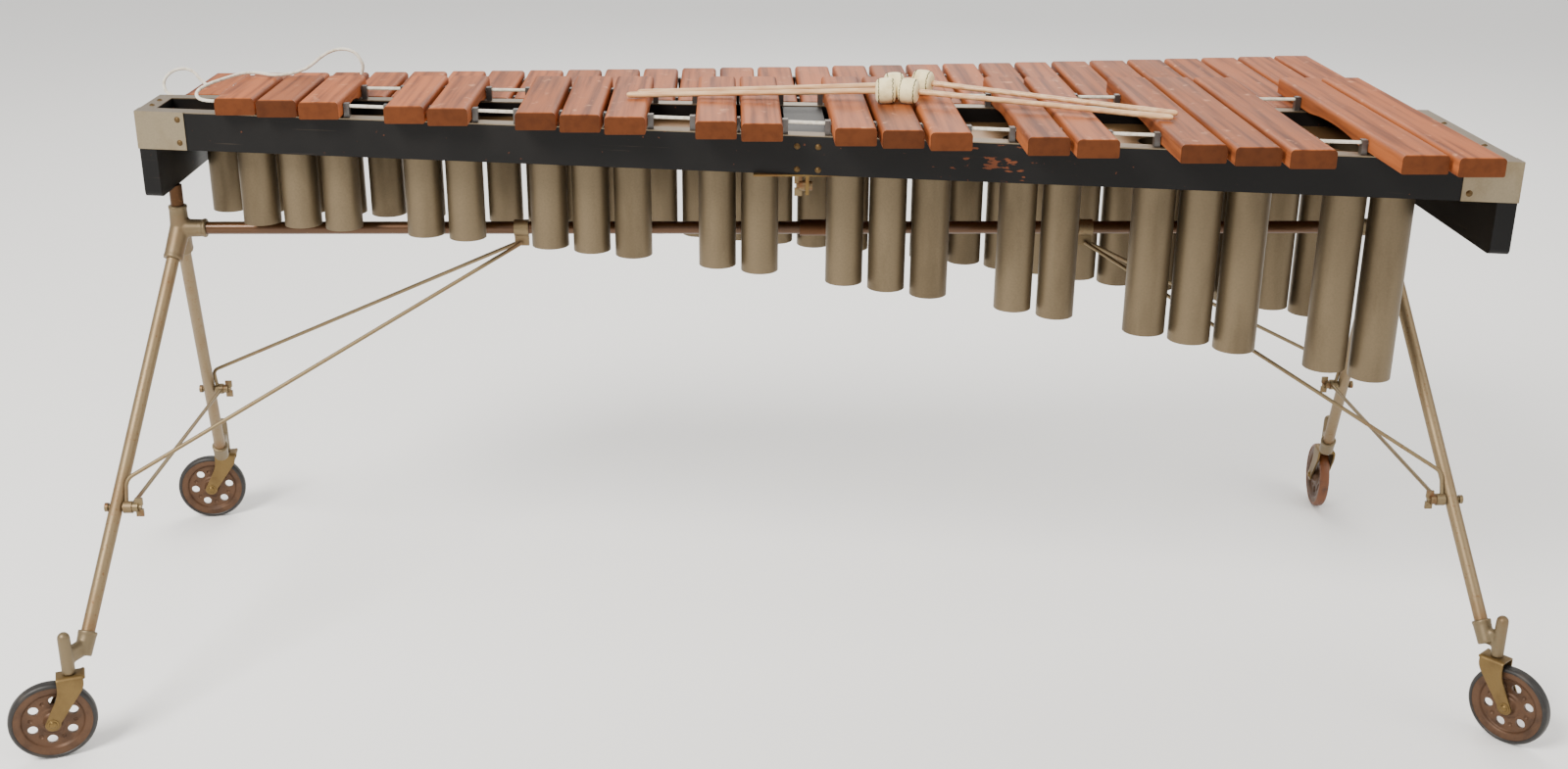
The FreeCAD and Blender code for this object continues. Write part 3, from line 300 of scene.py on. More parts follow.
def speckled_paint(name, tint, speckle, metallic=0.7, amount=0.8, rust_below=None):
    """Aluminium paint with brown flecks, and rustier below a height."""
    f = Finish(name, metallic=metallic)
    flecks = f.window(f.noise(330.0, 5.0), 0.60, 0.70)
    clouds = f.noise(14.0, 5.0)
    mixed = f.mix(f.maths("MULTIPLY", flecks, amount), tint, speckle)
    mixed = f.mix(f.maths("MULTIPLY", f.window(clouds, 0.5, 0.8), 0.5), mixed, speckle)
    if rust_below is not None:
        level = f.maths("ADD", f.part(f.place, "Z"), f.maths("MULTIPLY", f.noise(45.0, 5.0), 0.08))
        rusty = f.maths("SUBTRACT", 1.0, f.window(level, rust_below, rust_below + 0.05))
        mixed = f.mix(f.maths("MULTIPLY", rusty, 0.55), mixed, speckle)
    f.relief(f.noise(500.0, 4.0), 0.00025, 0.4)
    return f.done(mixed, f.range(clouds, 0.38, 0.58))


def rubber(name, tint, scuffed):
    f = Finish(name)
    scuffs = f.noise(60.0, 7.0)
    tint = f.mix(f.window(scuffs, 0.50, 0.80), tint, scuffed)
    f.relief(f.noise(300.0, 5.0), 0.0003, 0.5)
    return f.done(tint, f.range(scuffs, 0.36, 0.62))


def cotton(name):
    c = colours()
    f = Finish(name, roughness=0.9)
    f.shader.inputs["Sheen Weight"].default_value = 0.3
    strands = f.node("TexWave", {"Vector": f.place, "Scale": 420.0, "Distortion": 2.0},
                     bands_direction="DIAGONAL").outputs["Fac"]
    tint = f.mix(f.window(f.noise(160.0, 5.0), 0.4, 0.8), c.cotton, linear(196, 184, 158))
    f.relief(strands, 0.0006, 0.6)
    return f.done(f.shade(tint, f.range(strands, 0.86, 1.06)))


def birch(name):
    c = colours()
    f = Finish(name, coat=0.15)
    grain = f.noise((30.0, 260.0, 260.0), 5.0)
    knots = f.window(f.noise(34.0, 3.0), 0.66, 0.74)
    tint = f.mix(f.window(grain, 0.35, 0.7), linear(196, 148, 102), c.birch)
    tint = f.mix(f.maths("MULTIPLY", knots, 0.5), tint, linear(150, 96, 60))
    f.relief(grain, 0.0002, 0.5)
    return f.done(tint, f.range(grain, 0.40, 0.55))


def cream_cover(name):
    c = colours()
    f = Finish(name)
    f.shader.inputs["Sheen Weight"].default_value = 0.2
    clouds = f.noise(70.0, 6.0)
    tint = f.mix(f.window(clouds, 0.4, 0.8), c.head, linear(214, 192, 138))
    f.relief(f.noise(700.0, 4.0), 0.0003, 0.5)
    return f.done(tint, f.range(clouds, 0.55, 0.78))


def plain(name, tint, roughness=0.7, metallic=0.0):
    """A small part's finish: one tint, faintly mottled."""
    f = Finish(name, metallic=metallic, roughness=roughness)
    mottle = f.noise(240.0, 4.0)
    f.relief(mottle, 0.0001, 0.3)
    return f.done(f.shade(tint, f.range(mottle, 0.8, 1.15)))


# ---------------------------------------------------------------------------------------------
# Mesh tools
# ---------------------------------------------------------------------------------------------


def dress(material, *nodes):
    """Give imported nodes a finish."""
    for name in nodes:
        piece = frame["nodes"][name]
        if not piece.material_slots:
            piece.data.materials.append(material)
        for slot in piece.material_slots:
            slot.material = material


def nodes_named(*starts):
    return [name for name in frame["nodes"] if name.startswith(starts)]


def add_piece(name, data, material, body, replaced=(), place=None):
    """Link a mesh or curve as a piece that rides on a body and takes its slot's finish."""
    if place is not None:
        data = data.copy()
        data.transform(place)
    data.materials.clear()
    data.materials.append(material)
    piece = bpy.data.objects.new(name, data)
    bpy.context.scene.collection.objects.link(piece)
    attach(piece, body)
    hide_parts(*replaced)
    return piece


def smoothed(data, sharp=None):
    """Shade mesh data smooth, keeping edges crisp where they are sharper than an angle."""
    data.polygons.foreach_set("use_smooth", [True] * len(data.polygons))
    if sharp is not None:
        data.set_sharp_from_angle(angle=math.radians(sharp))
    return data


def mesh_from(bm, name):
    """A bmesh's faces, all facing out, as mesh data."""
    bmesh.ops.recalc_face_normals(bm, faces=bm.faces)
    data = bpy.data.meshes.new(name)
    bm.to_mesh(data)
    bm.free()
    return data


def finish_mesh(bm, name, sharp=35.0):
    """A bmesh as smooth-shaded mesh data, with edges sharper than an angle kept crisp."""
    return smoothed(mesh_from(bm, name), sharp)


def evaluated(data, name, *modifiers):
    """Mesh data after modifiers, each a type and its settings."""
    holder = bpy.data.objects.new(name, data)
    bpy.context.scene.collection.objects.link(holder)
    for kind, settings in modifiers:
        modifier = holder.modifiers.new(kind, kind)
        for key, value in settings.items():
            setattr(modifier, key, value)
    graph = bpy.context.evaluated_depsgraph_get()
    result = bpy.data.meshes.new_from_object(holder.evaluated_get(graph))
    bpy.data.objects.remove(holder)
    result.name = name
    return result


def soften(profile, radius, steps=4):
    """A profile with each inner corner rounded off."""
    points = [Vector(point) for point in profile]
    smooth = [points[0]]
    for before, corner, after in zip(points, points[1:], points[2:]):
        back, on = before - corner, after - corner
        reach = min(radius, back.length / 2, on.length / 2)
        start, end = corner + back.normalized() * reach, corner + on.normalized() * reach
        for i in range(steps + 1):
            t = i / steps
            smooth.append(start.lerp(corner, t).lerp(corner.lerp(end, t), t))
    smooth.append(points[-1])
    return smooth


def lathe(bm, profile, steps, closed=False, place=Matrix.Identity(4)):
    """Turn a profile of (radius, height) pairs, in millimetres, about Z into a bmesh."""
    rings = []
    for radius, height in profile:
        if radius < 1e-6:
            rings.append([bm.verts.new(place @ Vector((0, 0, height * MM)))])
            continue
        ring = []
        for i in range(steps):
            turn = 2 * math.pi * i / steps
            point = Vector((radius * math.cos(turn), radius * math.sin(turn), height)) * MM
            ring.append(bm.verts.new(place @ point))
        rings.append(ring)
    pairs = list(zip(rings, rings[1:]))
    if closed:
        pairs.append((rings[-1], rings[0]))
    for lower, upper in pairs:
        for i in range(steps):
            j = (i + 1) % steps
            corners = [lower[i % len(lower)], lower[j % len(lower)],
                       upper[j % len(upper)], upper[i % len(upper)]]
            distinct = list(dict.fromkeys(corners))
            if len(distinct) > 2:
                bm.faces.new(distinct)
    return bm


def lathed(name, profile, steps, closed=False):
    return finish_mesh(lathe(bmesh.new(), profile, steps, closed), name)


def aim(centre, axis, roll=0.0):
    """A placement at a centre with +Z along an axis."""
    turn = Vector(axis).to_track_quat("Z", "Y").to_matrix().to_4x4()
    return Matrix.Translation(centre) @ turn @ Matrix.Rotation(roll, 4, "Z")


def stub(bm, start, end, radius_start, radius_end, steps=32):
    """A closed round stub between two points, in metres."""
    way = end - start
    top, low = radius_end / MM, radius_start / MM
    lathe(bm, [(0, 0), (low, 0), (top, way.length / MM), (0, way.length / MM)], steps,
          place=aim(start, way))


def ball(bm, centre, radius):
    bmesh.ops.create_icosphere(bm, subdivisions=3, radius=radius,
                               matrix=Matrix.Translation(centre))


def cast_mesh(bm, name, rounds):
    """Melt the overlapping closed solids of a bmesh into one casting with soft inner corners."""
    remesh = ("REMESH", {"mode": "VOXEL", "voxel_size": sizes().voxel})
    relax = ("SMOOTH", {"factor": 0.5, "iterations": rounds})
    return smoothed(evaluated(mesh_from(bm, name), name, remesh, relax))


def solids_of(node):
    """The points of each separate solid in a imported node, in the order of their centres."""
    bm = bmesh.new()
    bm.from_mesh(frame["nodes"][node].data)
    bmesh.ops.remove_doubles(bm, verts=bm.verts, dist=1e-6)
    waiting, found = set(bm.verts), []
    while waiting:
        reached, edge = set(), [waiting.pop()]
        while edge:
            vertex = edge.pop()
            reached.add(vertex)
            for link in vertex.link_edges:
                other = link.other_vert(vertex)
                if other in waiting:
                    waiting.remove(other)
                    edge.append(other)
        found.append(np.array([tuple(v.co) for v in reached]))
    bm.free()
    return sorted(found, key=lambda points: tuple(points.mean(axis=0).round(4)))


def ends_of(points):
    """The two ends of a long round solid's centre line."""
    middle = points.mean(axis=0)
    way = np.linalg.svd(points - middle)[2][0]
    along = (points - middle) @ way
    tips = [points[along < along.min() + MM / 2], points[along > along.max() - MM / 2]]
    return [Vector((tip.min(axis=0) + tip.max(axis=0)) / 2) for tip in tips]


def leg_end(corner):
    """The foot of a leg tube and the way it points."""
    top, foot = sorted(ends_of(solids_of("leg_" + corner)[0]), key=lambda tip: -tip.z)
    return foot, (foot - top).normalized()


def joint_named(name):
    return next(joint for joint in frame["joints"] if joint["name"] == name)


# ---------------------------------------------------------------------------------------------
# Pieces
# ---------------------------------------------------------------------------------------------


class XYLOPHONE_OT_stage(Operator):
    """Camera, pale floor and soft studio light."""

    bl_idname = "xylophone.stage"
    bl_label = "Stage"

    def execute(self, context):
        scene = context.scene
        eye = bpy.data.cameras.new("Camera")
        eye.lens, eye.sensor_width = 39.54, 36.0
        camera = bpy.data.objects.new("Camera", eye)
        forward = Vector((0.031779, 0.934341, -0.354961))
        right = Vector((0.999488, -0.031010, 0.007857))
        up = right.cross(forward)
        turn = Matrix((right, up, -forward)).transposed().to_4x4()
        camera.matrix_world = Matrix.Translation((-0.0767, -2.1290, 1.1558)) @ turn
        scene.collection.objects.link(camera)
        scene.camera = camera

        bm = bmesh.new()
        bmesh.ops.create_grid(bm, x_segments=2, y_segments=2, size=30.0)
        floor = bpy.data.objects.new("floor", finish_mesh(bm, "floor"))
        floor.data.materials.append(self.pale())
        scene.collection.objects.link(floor)

        warm, middle = (1.0, 0.965, 0.91), Vector((0, 0, 0.55))
        lamps = (("key", (-2.2, -2.6, 3.4), 1.8, 270.0), ("fill", (2.8, -2.0, 2.6), 2.6, 45.0),
                 ("rim", (0.4, 3.0, 3.0), 3.0, 90.0))
        for name, place, width, power in lamps:
            light = bpy.data.lights.new(name, "AREA")
            light.shape, light.size, light.energy = "DISK", width, power
            light.color = warm
            lamp = bpy.data.objects.new(name, light)
            lamp.matrix_world = aim(place, Vector(place) - middle)
            scene.collection.objects.link(lamp)
        world = bpy.data.worlds.new("Studio")
        world.use_nodes = True
        background = next(n for n in world.node_tree.nodes if n.type == "BACKGROUND")
        background.inputs["Color"].default_value = (1.0, 0.985, 0.96, 1.0)
        background.inputs["Strength"].default_value = 0.95
        scene.world = world
        return {"FINISHED"}

    @staticmethod
    def pale():
        f = Finish("pale_floor", roughness=0.9)
        return f.done(f.shade(colours().floor, f.range(f.noise(1.5, 2.0), 0.985, 1.0)))


class XYLOPHONE_OT_bars(Operator):
    """Rosewood on the two rows of bars."""

    bl_idname = "xylophone.bars"
    bl_label = "Bars"

    def execute(self, context):
        naturals = sorted(solid.mean(axis=0)[0]
                          for name in ("natural_bars_treble", "natural_bars_bass")
                          for solid in solids_of(name))
        pitch, low_pitch = naturals[1] - naturals[0], naturals[-1] - naturals[-2]
        octave_x = naturals[-8]
        for row, shift in (("natural", 0.5), ("sharp", 0.0)):
            wood = rosewood("rosewood_" + row, float(octave_x), float(pitch), float(low_pitch),
                            shift)
            dress(wood, row + "_bars_treble", row + "_bars_bass")
        return {"FINISHED"}


class XYLOPHONE_OT_suspension(Operator):
    """Dark steel posts and the taut cords they carry."""

    bl_idname = "xylophone.suspension"
    bl_label = "Posts and taut cords"

    def execute(self, context):
        c = colours()
        dress(plain_metal("post_steel", c.post, c.rust, low=0.3, high=0.5, amount=0.25),
              "sharp_cord_posts", "natural_cord_posts")
        dress(cotton("taut_cotton"), "sharp_bar_cord", "natural_bar_cord")
        return {"FINISHED"}


class XYLOPHONE_OT_frame(Operator):
    """Black painted rails, end pieces and boards."""

    bl_idname = "xylophone.frame"
    bl_label = "Wooden frame"

    def execute(self, context):
        low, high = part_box("near_rail_bass")
        share = 0.28
        worn = (low.x + share * (high.x - low.x), high.y + share * (low.y - high.y),
                (low.z + high.z) / 2)
        dress(worn_paint("worn_black_paint", worn), "near_rail_treble", "near_rail_bass")
        dress(worn_paint("black_paint"), "end_beam_treble", "end_beam_bass", "end_rails",
              "far_rails", "sharp_inner_rails", "natural_inner_rails", "joint_cross_members")
        return {"FINISHED"}


class XYLOPHONE_OT_fittings(Operator):
    """Strips, corner plates, angle brackets and screws of the frame."""

    bl_idname = "xylophone.fittings"
    bl_label = "Frame fittings"

    def execute(self, context):
        c = colours()
        dress(plain_metal("strip_metal", c.strip, linear(120, 108, 92), grain=(3.0, 20.0, 20.0),
                          low=0.3, high=0.5), "rail_strips")
        dress(plain_metal("nickel_plate", c.nickel, linear(110, 94, 66), grain=(30.0, 30.0, 22.0),
                          low=0.32, high=0.55), "corner_plates")
        dress(plain_metal("aged_brass", c.brass, c.rust, low=0.35, high=0.6, amount=0.6,
                          grain=(60.0, 60.0, 60.0)), "joint_brackets")
        dress(plain("screw_brass", c.tarnish, roughness=0.5, metallic=0.7), "frame_screws")
        return {"FINISHED"}


class XYLOPHONE_OT_resonators(Operator):
    """Champagne tubes, their carrying plates and stoppers."""

    bl_idname = "xylophone.resonators"
    bl_label = "Resonators"

    def execute(self, context):
        c = colours()
        tubes = nodes_named("sharp_resonators", "natural_resonators", "resonator_stoppers")
        dress(plain_metal("champagne_tube", c.tube, c.tube_stain, metallic=0.75, low=0.40,
                          high=0.55, grain=(22.0, 22.0, 5.0), amount=0.55), *tubes)
        dress(plain_metal("bronze_plate", c.bronze, linear(104, 84, 50), grain=(4.0, 30.0, 30.0),
                          low=0.30, high=0.48), "resonator_plates")
        return {"FINISHED"}


class XYLOPHONE_OT_stand(Operator):
    """Legs, posts, stretcher and the two crown castings."""

    bl_idname = "xylophone.stand"
    bl_label = "Stand"

    def execute(self, context):
        c = colours()
        leg_paint = speckled_paint("stand_paint", c.stand, c.speckle, rust_below=0.17)
        dress(leg_paint, *nodes_named("leg_near", "leg_far"))
        dress(speckled_paint("post_paint", c.lacquer, c.speckle), "stand_posts")
        dress(plain_metal("stretcher_lacquer", c.lacquer, linear(70, 48, 26), metallic=0.6,
                          low=0.3, high=0.5, grain=(7.0, 40.0, 40.0), amount=0.7, coat=0.2),
              "stretcher_tubes")
        dress(plain_metal("sleeve_brass", c.lacquer, c.rust, metallic=0.7), "stretcher_sleeve")
        casting = speckled_paint("casting_paint", c.casting, c.speckle, metallic=0.7, amount=0.35)
        replaced = ("leg_castings",)
        for end, sign in ENDS.items():
            data = self.crown(end, sign)
            add_piece("crown_" + end, data, casting, "frame", replaced)
            replaced = ()
        return {"FINISHED"}

    @staticmethod
    def crown(end, sign):
        """Post socket, stretcher socket and two leg sockets, melted into one casting."""
        low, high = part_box("stretcher_tubes")
        knuckle, tube_inset = 12.2 * MM, 4 * MM
        centre = Vector(((high.x + tube_inset) * sign, (low.y + high.y) / 2,
                         (low.z + high.z) / 2))
        sockets = [(Vector((0, 0, 1)), 30, 12.0, 10.6, 11.6),
                   (Vector((-sign, 0, 0)), 34, 11.8, 10.8, 12.1)]
        for side in ("near", "far"):
            sockets.append((leg_end("%s_%s" % (side, end))[1], 42, 12.6, 11.6, 12.2))
        bm = bmesh.new()
        ball(bm, centre, knuckle)
        for way, reach, root, tip, collar in sockets:
            mouth = centre + way * reach * MM
            stub(bm, centre, mouth, root * MM, tip * MM)
            stub(bm, mouth - way * COLLAR, mouth, collar * MM, collar * MM)
        return cast_mesh(bm, "crown_" + end, rounds=6)


class XYLOPHONE_OT_braces(Operator):
    """Brace rods, their clamps, bolts and wing nuts."""

    bl_idname = "xylophone.braces"
    bl_label = "Braces"

    def execute(self, context):
        c = colours()
        dress(speckled_paint("brace_steel", c.steel, c.rust, metallic=0.7, amount=0.6),
              "brace_rods", "brace_clamps")
        dress(plain_metal("rusty_steel", c.steel, c.rust, grain=(90.0, 90.0, 90.0), amount=0.8),
              "bolts", "wing_nuts")
        return {"FINISHED"}


class XYLOPHONE_OT_casters(Operator):
    """Cast elbows, pressed forks, axles, wheels and tyres of the four casters."""

    bl_idname = "xylophone.casters"
    bl_label = "Casters"

    def execute(self, context):
        c = colours()
        casting = speckled_paint("elbow_paint", c.casting, c.speckle, metallic=0.7, amount=0.3)
        brass = plain_metal("fork_brass", c.brass, c.tarnish, metallic=0.65, low=0.36, high=0.6,
                            grain=(26.0, 26.0, 26.0), amount=0.75)
        rivet = plain_metal("rivet_brass", c.brass, c.tarnish, low=0.25, high=0.45)
        brown = plain_metal("wheel_brown", c.wheel, linear(60, 40, 26), metallic=0.45, low=0.38,
                            high=0.6, grain=(55.0, 55.0, 55.0), amount=0.8)
        black = rubber("old_rubber", c.rubber, linear(52, 45, 38))
        baked = rubber("baked_rubber", c.rubber_baked, linear(66, 38, 18))
        fork, wheel, tyre, axle = self.fork(), self.wheel(), self.tyre(), self.axle()
        replaced = ("caster_elbows",)
        for index, corner in enumerate(CORNERS):
            swivel, spin = joint_named("swivel_" + corner), joint_named("spin_" + corner)
            stem, hub = Vector(swivel["pos_m"]), Vector(spin["pos_m"])
            stem.z = 0.0
            trail = hub - stem
            angle = math.atan2(trail.y, trail.x)
            elbow = self.elbow(corner, stem)
            add_piece("elbow_" + corner, elbow, casting, "frame", replaced)
            replaced = ()
            place = Matrix.Translation(stem) @ Matrix.Rotation(angle, 4, "Z")
            add_piece("pressed_fork_" + corner, fork, brass, "swivel_" + corner,
                      ("fork_" + corner,), place)
            place = aim(hub, spin["axis"], roll=index * 0.4)
            add_piece("rivet_" + corner, axle, rivet, "swivel_" + corner,
                      ("axle_" + corner,), place)
            add_piece("disc_wheel_" + corner, wheel, brown, "roller_" + corner,
                      ("wheel_" + corner,), place)
            add_piece("rubber_tyre_" + corner, tyre, baked if corner == "far_bass" else black,
                      "roller_" + corner, ("tyre_" + corner,), place)
        return {"FINISHED"}

    @staticmethod
    def elbow(corner, stem):
        """An upright finger for the stem, joined by a web to the slanted socket of the leg."""
        foot, way = leg_end(corner)
        head_room, finger_radius, web_radius = 0.6 * MM, 7.3 * MM, 6.0 * MM
        low = Vector((stem.x, stem.y, sizes().fork_top + head_room))
        dome = Vector((stem.x, stem.y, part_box("caster_elbows")[1].z - finger_radius))
        mouth, heel = foot - way * 20 * MM, foot + way * 9 * MM
        bm = bmesh.new()
        stub(bm, low, dome, 7.8 * MM, finger_radius)
        ball(bm, dome, finger_radius)
        stub(bm, mouth, heel, 11.0 * MM, 10.4 * MM)
        stub(bm, mouth, mouth + way * COLLAR, 11.5 * MM, 11.5 * MM)
        middle = foot - way * 4 * MM
        for height in (-7.0, -2.0, 3.0):
            start = Vector((middle.x, middle.y, middle.z + height * MM))
            stub(bm, start, Vector((stem.x, stem.y, start.z)), web_radius, web_radius)
        return cast_mesh(bm, "elbow_" + corner, rounds=8)

    @staticmethod
    def fork():
        """A strip bent into an upside-down U, its blades tapering to round ends at the axle."""
        s = sizes()
        half_width = s.fork_gap / 2 + s.fork_plate
        top, axle_z, tip = s.fork_top, s.wheel_radius, 9.0 * MM
        bend, bridge = 5.0 * MM, s.fork_half
        rear = soften([(-bridge, top), (-bridge, top - 14 * MM), (s.trail - tip, axle_z)], 12 * MM)
        front = soften([(bridge, top), (bridge, top - 20 * MM), (s.trail + tip, axle_z)], 12 * MM)

        def at_height(edge, z):
            return float(np.interp(z, [p[1] for p in reversed(edge)],
                                   [p[0] for p in reversed(edge)]))

        rows, round_steps, blade_steps, columns = [], 8, 24, 10
        for i in range(1, round_steps + 1):
            turn = math.radians(88.0 - 11.0 * i)
            reach = tip * math.cos(turn)
            z = axle_z - tip * math.sin(turn)
            rows.append((half_width, z, s.trail - reach, s.trail + reach))
        for i in range(1, blade_steps + 1):
            z = axle_z + (top - bend - axle_z) * i / blade_steps
            rows.append((half_width, z, at_height(rear, z), at_height(front, z)))
        for i in range(1, round_steps + 1):
            turn = math.pi / 2 * i / round_steps
            rows.append((half_width - bend + bend * math.cos(turn),
                         top - bend + bend * math.sin(turn), -bridge, bridge))
        rows.append((0.0, top, -bridge, bridge))
        rows += [(-y, z, x0, x1) for y, z, x0, x1 in reversed(rows[:-1])]
        bm = bmesh.new()
        grid = [[bm.verts.new((x0 + (x1 - x0) * j / columns, y, z)) for j in range(columns + 1)]
                for y, z, x0, x1 in rows]
        for lower, upper in zip(grid, grid[1:]):
            for j in range(columns):
                bm.faces.new((lower[j], lower[j + 1], upper[j + 1], upper[j]))
        sheet = finish_mesh(bm, "fork_sheet", sharp=60.0)
        solid = evaluated(sheet, "fork_plate",
                          ("SOLIDIFY", {"thickness": s.fork_plate, "offset": -1.0}),
                          ("BEVEL", {"width": 0.5 * MM, "segments": 2, "angle_limit": 0.9}))
        bm = bmesh.new()
        bm.from_mesh(solid)
        stem_radius, stem_top = 4 * MM, top + 29 * MM
        stub(bm, Vector((0, 0, top - s.fork_plate)), Vector((0, 0, stem_top)), stem_radius,
             stem_radius)
        lip_half, lip_radius = half_width - 2.5 * MM, 2.4 * MM
        lip_ends = [Vector((-bridge, y, top - lip_radius)) for y in (-lip_half, lip_half)]
        stub(bm, *lip_ends, lip_radius, lip_radius)
        return finish_mesh(bm, "pressed_fork")

    @staticmethod
    def wheel():
        """A dished disc with a ring of holes, dimples between them and a raised rim."""
        s = sizes()
        side = [(3.05, 10.1), (8.2, 10.1), (9.4, 7.5), (11.5, 4.2), (15.0, 3.6), (17.0, 2.2),
                (34.0, 2.2), (36.0, 5.2), (39.0, 6.2), (44.4, 6.4)]
        half = soften(side, 1.2, 3)
        profile = [(r, -h) for r, h in half] + [(r, h) for r, h in reversed(half)]
        blank = lathed("wheel_blank", profile, closed=True, steps=96)
        bm = bmesh.new()
        ring, deep, first_turn = s.hole_ring, 6 * MM, 0.38
        dimple_ring, dimple_height, dimple_radius = ring * 0.98, 4.2 * MM, 3.4 * MM
        for i in range(s.holes):
            turn = 2 * math.pi * i / s.holes + first_turn
            spot = Vector((ring * math.cos(turn), ring * math.sin(turn), 0))
            stub(bm, spot - Vector((0, 0, deep)), spot + Vector((0, 0, deep)), s.hole_radius,
                 s.hole_radius, steps=40)
            turn += math.pi / s.holes
            for way in (-1, 1):
                spot = Vector((dimple_ring * math.cos(turn), dimple_ring * math.sin(turn),
                               way * dimple_height))
                ball(bm, spot, dimple_radius)
        cutter = bpy.data.objects.new("wheel_cutter", finish_mesh(bm, "wheel_cutter"))
        bpy.context.scene.collection.objects.link(cutter)
        data = evaluated(blank, "disc_wheel", ("BOOLEAN", {"object": cutter,
                                                           "operation": "DIFFERENCE"}))
        bpy.data.objects.remove(cutter)
        return smoothed(data, 30)

    @staticmethod
    def tyre():
        s = sizes()
        outer, inner, half = s.wheel_radius / MM, s.rim_radius / MM - 0.6, s.tyre_half / MM
        side = [(inner, half - 1.4), (inner + 1.0, half - 0.4), (outer - 2.6, half - 0.8),
                (outer - 0.5, half - 3.0), (outer, 0.0)]
        crown = soften(side, 2.6, 5)
        profile = [(r, -h) for r, h in crown] + [(r, h) for r, h in reversed(crown[:-1])]
        return lathed("rubber_tyre", profile, closed=True, steps=128)

    @staticmethod
    def axle():
        """The rivet: a washer and a domed head outside each blade."""
        s = sizes()
        face = (s.fork_gap / 2 + s.fork_plate) / MM
        side = soften([(2.95, face - 3.0), (2.95, face), (6.6, face), (6.6, face + 0.8),
                       (4.6, face + 0.8), (4.2, face + 2.0), (2.4, face + 3.0), (0.0, face + 3.0)],
                      0.5, 3)
        profile = [(r, -h) for r, h in reversed(side)] + [(r, h) for r, h in side]
        return lathed("axle_rivet", profile, steps=40)


class XYLOPHONE_OT_mallets(Operator):
    """Four mallets: turned shafts, covered heads and their seams."""

    bl_idname = "xylophone.mallets"
    bl_label = "Mallets"

    def execute(self, context):
        c, s = colours(), sizes()
        wood, cover = birch("birch"), cream_cover("cream_cover")
        thread = plain("seam_thread", c.seam)
        heads = [Vector(solid.mean(axis=0)) for solid in solids_of("mallet_heads")]
        replaced = ["mallet_shafts", "mallet_heads"]
        for index, solid in enumerate(solids_of("mallet_shafts")):
            tips = ends_of(solid)
            tips.sort(key=lambda tip: min((tip - head).length for head in heads))
            start, butt = tips
            way = (butt - start).normalized()
            centre = start + way * s.head_half
            place = aim(centre, way, roll=index * 1.1)
            total = (butt - start).length / MM
            add_piece("mallet_shaft_%d" % index, self.shaft(total), wood, "mallets",
                      replaced[:1], place)
            add_piece("mallet_head_%d" % index, self.head(), cover, "mallets",
                      replaced[1:2], place)
            add_piece("mallet_seams_%d" % index, self.seams(), thread, "mallets",
                      (), place)
            replaced = []
        return {"FINISHED"}

    @staticmethod
    def shaft(total):
        s = sizes()
        radius, near = s.shaft_radius / MM, -s.head_half / MM
        far = near + total
        profile = [(0.0, near), (radius, near), (radius, near + 30), (radius * 0.9, near + 90),
                   (radius * 0.88, far - 90), (radius, far - 25), (radius, far - 3),
                   (radius * 0.6, far), (0.0, far)]
        return lathed("mallet_shaft", soften(profile, 6.0, 4), steps=24)

    @staticmethod
    def head():
        """A drum with a shallow groove near each end and rounded caps."""
        s = sizes()
        r, h = s.head_radius / MM, s.head_half / MM
        half = [(r, 0.0), (r - 0.25, h * 0.4), (r - 1.0, h * 0.64), (r - 1.7, h * 0.68),
                (r - 1.2, h * 0.72), (r - 2.6, h * 0.86), (r - 5.6, h * 0.98), (3.2, h)]
        profile = [(a, -b) for a, b in reversed(half)] + half[1:]
        return lathed("mallet_head", soften(profile, 1.6, 4), steps=64)

    @staticmethod
    def seams():
        """A ring of short stitches in each groove."""
        s = sizes()
        r, h = s.head_radius / MM - 1.25, s.head_half / MM * 0.68
        bm = bmesh.new()
        stitches, half_turn, thread_radius = 26, 0.10, 0.55 * MM
        for way in (-1, 1):
            for i in range(stitches):
                turn = 2 * math.pi * i / stitches
                lean = 0.5 * (-1) ** i
                points = [Vector((r * math.cos(a), r * math.sin(a), way * h + z)) * MM
                          for a, z in ((turn - half_turn, -lean), (turn + half_turn, lean))]
                stub(bm, points[0], points[1], thread_radius, thread_radius, steps=8)
        return finish_mesh(bm, "mallet_seams", sharp=70.0)


# Routes of the two loose ends, listed point by point, each starting where a taut cord ends.
SHARP_TAIL = ((-704, -63.8, 737), (-714, -57, 740.5), (-716, -43, 745), (-709, -26, 748.8),
              (-700, -7, 750.4), (-692, 12, 751), (-684, 27, 751.8), (-673, 36, 752.2),
              (-660, 36, 751.8), (-646, 27, 750.8), (-630, 26, 751), (-616, 34, 752.4),
              (-604, 41, 756), (-594, 44, 763), (-583, 43, 772), (-569, 39, 779.5),
              (-554, 35, 782.5), (-540, 32.5, 779), (-533.5, 31.5, 770), (-530.5, 33.5, 760),
              (-535, 38, 750.5))
NATURAL_TAIL = ((-782, 72.3, 714), (-793, 75, 721), (-795, 80, 734), (-786, 86, 744),
                (-772, 90, 748), (-758, 90, 744), (-750, 86, 733), (-741, 82, 727.5))


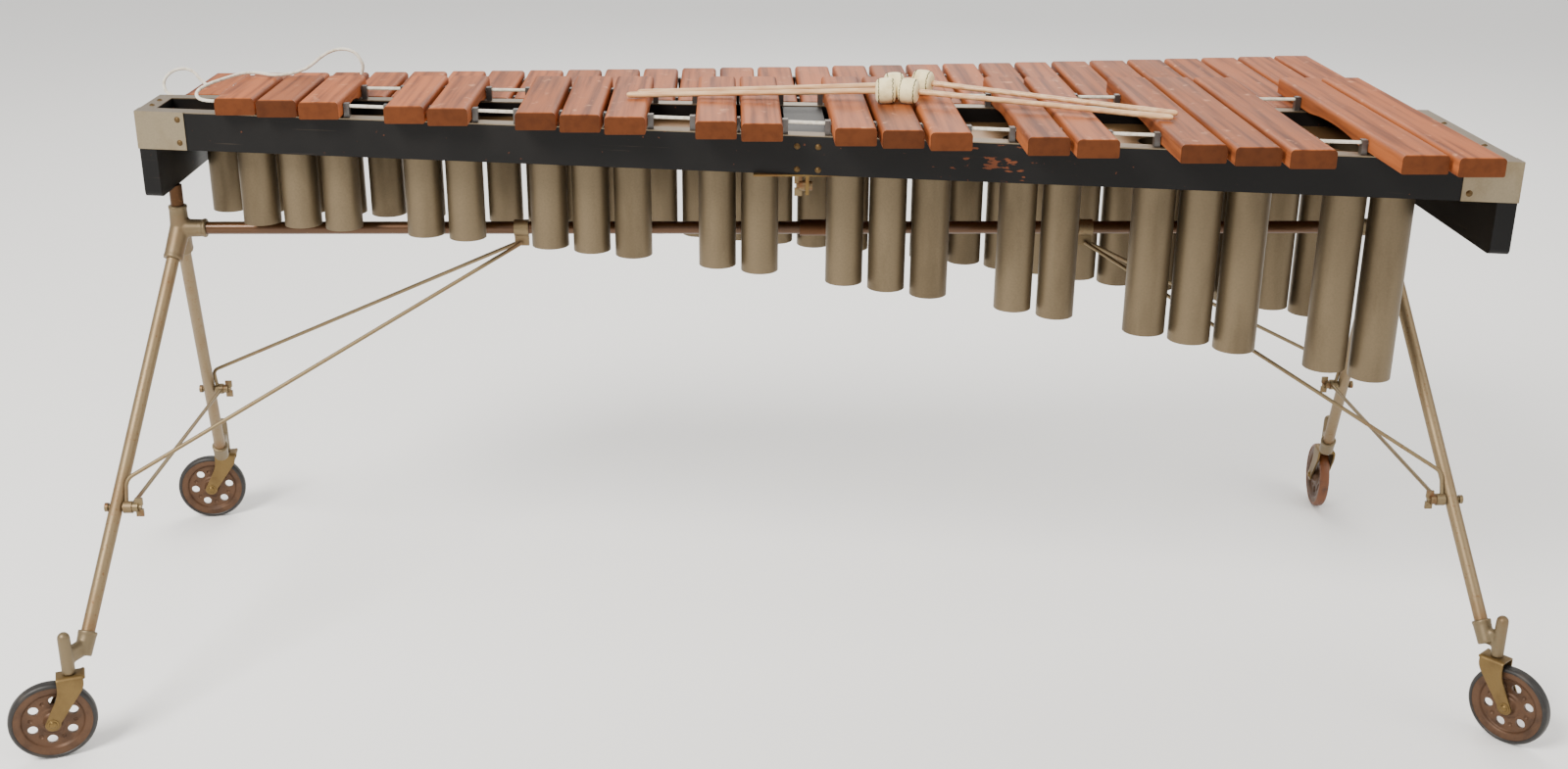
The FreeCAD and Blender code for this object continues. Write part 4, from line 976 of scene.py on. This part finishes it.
class XYLOPHONE_OT_loose_cords(Operator):
    """The loose ends of the two rows' cords at the treble end."""

    bl_idname = "xylophone.loose_cords"
    bl_label = "Loose cords"

    def execute(self, context):
        material = cotton("loose_cotton")
        tails = (("sharp", (-690.862, -66.008, 737.0), SHARP_TAIL, 0.311),
                 ("natural", (-768.3, 72.022, 714.0), NATURAL_TAIL, 0.108))
        for row, start, route, real_length in tails:
            points = [Vector(point) * MM for point in (start, *route)]
            piece = add_piece("loose_cord_" + row, self.line("loose_cord_" + row, points),
                              material, "frame", (row + "_cord_tail",))
        return {"FINISHED"}

    @staticmethod
    def line(name, points):
        curve = bpy.data.curves.new(name, "CURVE")
        curve.dimensions = "3D"
        curve.bevel_depth = sizes().cord_diameter / 2
        curve.bevel_resolution = 4
        curve.use_fill_caps = True
        spline = curve.splines.new("NURBS")
        spline.points.add(len(points) - 1)
        for target, point in zip(spline.points, points):
            target.co = (*point, 1.0)
        spline.order_u = 3
        spline.use_endpoint_u = True
        spline.resolution_u = 8
        return curve


class XYLOPHONE_PT_panel(Panel):
    """Lists the steps that make the xylophone."""

    bl_label = "Xylophone"
    bl_idname = "XYLOPHONE_PT_panel"
    bl_space_type = "VIEW_3D"
    bl_region_type = "UI"
    bl_category = "Xylophone"

    def draw(self, context):
        layout = self.layout
        for step in STEPS:
            layout.operator(step.bl_idname)
        for settings in (context.scene.xylophone_sizes, context.scene.xylophone_colours):
            box = layout.box()
            for name in settings.__annotations__:
                box.prop(settings, name)


STEPS = (XYLOPHONE_OT_stage, XYLOPHONE_OT_loose_cords, XYLOPHONE_OT_bars,
         XYLOPHONE_OT_suspension, XYLOPHONE_OT_frame, XYLOPHONE_OT_fittings,
         XYLOPHONE_OT_resonators, XYLOPHONE_OT_stand, XYLOPHONE_OT_braces, XYLOPHONE_OT_casters,
         XYLOPHONE_OT_mallets)
CLASSES = (XylophoneColours, XylophoneSizes, *STEPS, XYLOPHONE_PT_panel)


def register():
    for kind in CLASSES:
        bpy.utils.register_class(kind)
    bpy.types.Scene.xylophone_colours = PointerProperty(type=XylophoneColours)
    bpy.types.Scene.xylophone_sizes = PointerProperty(type=XylophoneSizes)


def unregister():
    del bpy.types.Scene.xylophone_sizes
    del bpy.types.Scene.xylophone_colours
    for kind in reversed(CLASSES):
        bpy.utils.unregister_class(kind)


def main():
    register()
    for step in STEPS:
        family, name = step.bl_idname.split(".")
        getattr(getattr(bpy.ops, family), name)()


if __name__ == "__main__":
    main()
